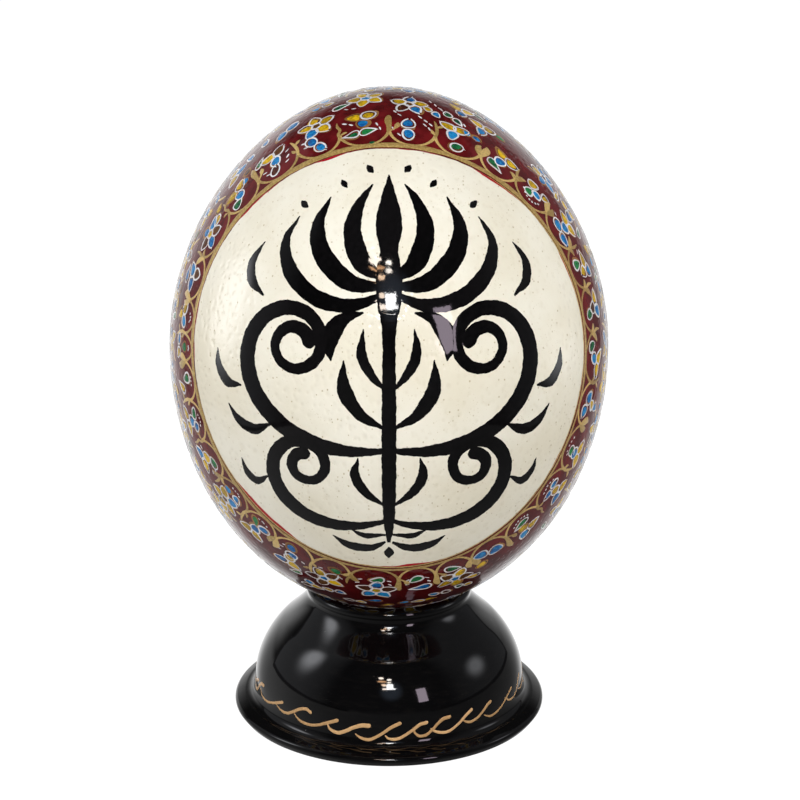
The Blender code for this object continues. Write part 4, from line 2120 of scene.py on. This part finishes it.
@dataclass
class Studio:
    """A pale floor, soft lights and the camera at the photo's angle."""

    ambient: float = 0.1
    back_wall: float = 1.18
    right_dimmer: float = 0.28
    table: float = 0.26
    dark: float = 0.025
    floor_glow: float = 1.0
    floor_radius: float = 4.0
    softboxes: tuple[Softbox, ...] = (
        Softbox("left_softbox", (-0.90, -0.70, 0.22), 0.6, 10.4, (1.0, 0.995, 0.985)),
        Softbox("right_softbox", (0.90, -0.70, 0.22), 0.6, 9.9, (1.0, 0.985, 0.96)),
        Softbox("top_softbox", (0.0, -0.35, 1.1), 0.6, 5.2, (0.95, 0.97, 1.0)),
    )
    glows: tuple[Glow, ...] = (
        Glow(2.0, 31.0, 4.0, 5.0, 9.0, 0.5, (0.6, 0.75, 1.0)),
        Glow(-8.9, 46.1, 1.7, 1.0, 0.6, 30.0, (1.0, 0.86, 0.74)),
        Glow(-7.6, 42.4, 3.0, 0.8, 1.0, 14.0, (1.0, 0.55, 0.28)),
        Glow(-5.3, 38.7, 1.5, 0.8, 0.8, 22.0, (1.0, 0.68, 0.45)),
        Glow(0.0, 44.6, 1.6, 0.8, 0.6, 30.0, (1.0, 0.93, 0.84)),
        Glow(0.0, 41.4, 1.5, 0.7, 0.6, 26.0, (1.0, 0.9, 0.8)),
    )
    lamps: tuple[Lamp, ...] = (
        Lamp("flash_lamp", (0.010, -0.672, 0.492), 0.075, 0.085, 34.0),
        Lamp("flash_foot", (0.050, -0.672, 0.455), 0.045, 0.020, 26.0),
        Lamp("upper_bulb", (-0.055, -0.685, 0.530), 0.038, 0.022, 24.0, (1.0, 0.80, 0.64)),
        Lamp("lower_bulb", (-0.052, -0.685, 0.462), 0.046, 0.026, 26.0, (1.0, 0.86, 0.74)),
        Lamp("window", (0.382, -0.666, 0.334), 0.140, 0.230, 5.8, (1.0, 0.83, 0.98)),
    )
    walls: tuple[TentWall, ...] = (
        TentWall(
            "left_cloth", -0.20, (-0.022, 0.160), (0.026, 0.046), 3.9, 0.27, ((0.088, 0.018), (0.226, 0.42))
        ),
        TentWall(
            "right_cloth", 0.204, (-0.019, 0.108), (0.026, 0.024), 1.8, 0.13, ((0.150, 0.018), (0.330, 0.42))
        ),
    )
    look_at: Vector = field(default_factory=lambda: Vector((0.0, 0.0, 0.09)))
    camera_distance: float = 0.85
    camera_height_angle: float = math.radians(20.0)
    lens: float = 127.35
    shift: Pair = (11.0 / 800.0, 26.4 / 800.0)

    def build(self) -> None:
        """Make the floor, the lights, the world and the camera."""
        self._floor()
        self._lights()
        for lamp in self.lamps:
            lamp.build(self.look_at)
        for wall in self.walls:
            wall.build()
        self._world()
        self._camera()
        bpy.context.scene.view_settings.view_transform = "Standard"

    def _floor(self) -> None:
        """Lay a plain pale floor."""
        add = bpy.ops.mesh.primitive_circle_add
        obj = primitive(add, "floor", vertices=64, radius=self.floor_radius, fill_type="NGON")
        deselect_all()
        material = new_material(
            "pale_floor",
            self._glow,
            base_color=(0.14, 0.14, 0.14, 1.0),
            roughness=0.9,
            specular_ior_level=0.0,
            emission_strength=self.floor_glow,
        )
        obj.data.materials.append(material)
        obj.visible_glossy = False

    @staticmethod
    def _glow(shader: Shader) -> dict[str, Socket]:
        """Give the floor its own glow, which only the camera sees."""
        seen = shader.node("ShaderNodeLightPath")
        return {"Emission Color": shader.mix(seen, (0.0, 0.0, 0.0), (1.0, 1.0, 1.0))}

    def _lights(self) -> None:
        """Hang the soft lights."""
        for box in self.softboxes:
            light = bpy.data.lights.new(box.name, "AREA")
            light.shape = "DISK"
            light.size = box.size
            light.energy = box.power
            light.color = box.tint
            lamp = bpy.data.objects.new(box.name, light)
            lamp.location = box.place
            lamp.rotation_euler = (self.look_at - lamp.location).to_track_quat("-Z", "Y").to_euler()
            lamp.visible_glossy = False
            bpy.context.scene.collection.objects.link(lamp)

    def _world(self) -> None:
        """Surround the egg with a white studio that is dark in front, with soft lamps in its gloss."""
        world = bpy.data.worlds.new("studio")
        bpy.context.scene.world = world
        world.use_nodes = True
        world.node_tree.nodes.clear()
        shader = Shader(world.node_tree)
        way = shader.node("ShaderNodeTexCoord")
        split = shader.node("ShaderNodeSeparateXYZ", None, {0: way})
        rays = shader.node("ShaderNodeLightPath")
        glossy = rays.output(3)
        room = self._room(*(split.output(axis) for axis in range(3)))
        level = rays + glossy * room + (1.0 - rays - glossy).most(0.0) * self.ambient
        surface = shader.node("ShaderNodeBackground", None, {"Color": (1.0, 1.0, 1.0), "Strength": level})
        for glow in self.glows:
            strength = glow.mask(shader, way) * glossy * glow.strength
            light = shader.node("ShaderNodeBackground", None, {"Color": glow.tint, "Strength": strength})
            surface = shader.node("ShaderNodeAddShader", None, {0: surface, 1: light})
        shader.node("ShaderNodeOutputWorld", None, {"Surface": surface})

    def _room(self, right: Socket, back: Socket, up: Socket) -> Socket:
        """Tell how bright the room is in the gloss.

        Args:
            right: how far to the right the way runs, from -1 to 1.
            back: how far to the back it runs.
            up: how far up it runs.

        Returns:
            The brightness along the way.
        """
        down, left = up * -1.0, right * -1.0
        corner = right.ease(-0.2, 0.3) * up.ease(-0.35, -0.05) * (1.0 - up.ease(0.2, 0.4))
        side = (1.0 - right.ease(-0.5, 0.9) * self.right_dimmer) * (1.0 - corner * 0.25)
        narrow = 1.0 - (1.0 - up.ease(-0.05, 0.3)) * left.most(right).ease(0.30, 0.70) * 0.74
        fall = up.ease(0.09, 0.52)
        behind = back.ease(0.53, 0.88) * side * narrow * (1.0 - fall) * (1.0 - down.ease(0.65, 1.0) * 0.6)
        near = (back.ease(-1.0, 0.4) * 0.85 + 0.35) * (0.8 + left * 0.45)
        table = (1.0 - up.ease(-0.02, 0.10)) * near * (1.0 - behind.least(1.0))
        return behind * self.back_wall + table * self.table + self.dark

    def _camera(self) -> None:
        """Place the camera."""
        data = bpy.data.cameras.new("camera")
        data.lens = self.lens
        data.shift_x, data.shift_y = self.shift
        data.clip_start = 0.01
        camera = bpy.data.objects.new("camera", data)
        back = Vector((0.0, -math.cos(self.camera_height_angle), math.sin(self.camera_height_angle)))
        camera.location = self.look_at + back * self.camera_distance
        camera.rotation_euler = (-back).to_track_quat("-Z", "Y").to_euler()
        bpy.context.scene.collection.objects.link(camera)
        bpy.context.scene.camera = camera


@dataclass(frozen=True)
class RingPath:
    """The gold ring's middle line, a hand-drawn circle round the panel."""

    reach: float = 67.6 * MM
    wander: tuple[Pair, ...] = (
        (0.44 * MM, 0.05 * MM),
        (-0.32 * MM, -0.39 * MM),
        (-0.77 * MM, 0.08 * MM),
    )

    def __call__(self, turns: Array) -> Array:
        """Tell where the line runs.

        Args:
            turns: turns clockwise from the top, in radians.

        Returns:
            The line's reach from the panel's middle at each turn.
        """
        reach = np.full(np.shape(turns), self.reach)
        for waves, (even, odd) in enumerate(self.wander, start=1):
            reach = reach + even * np.cos(waves * turns) + odd * np.sin(waves * turns)
        return reach


def main() -> None:
    """Build the egg, its painting and its stand, and light them."""
    logging.basicConfig(level=logging.INFO, format="%(name)s: %(message)s")
    surface = EggSurface()
    chart = PanelChart(surface, PANEL_TILT)
    ring_path = RingPath()
    outline = StandOutline(surface)
    Shell(surface, chart, ring_path).build()
    PanelArt(chart).build()
    Border(chart, ring_path).build()
    Garden(chart, ring_path).build()
    Stand(outline).build()
    GoldWave(outline).build()
    Studio().build()


if __name__ == "__main__":
    main()
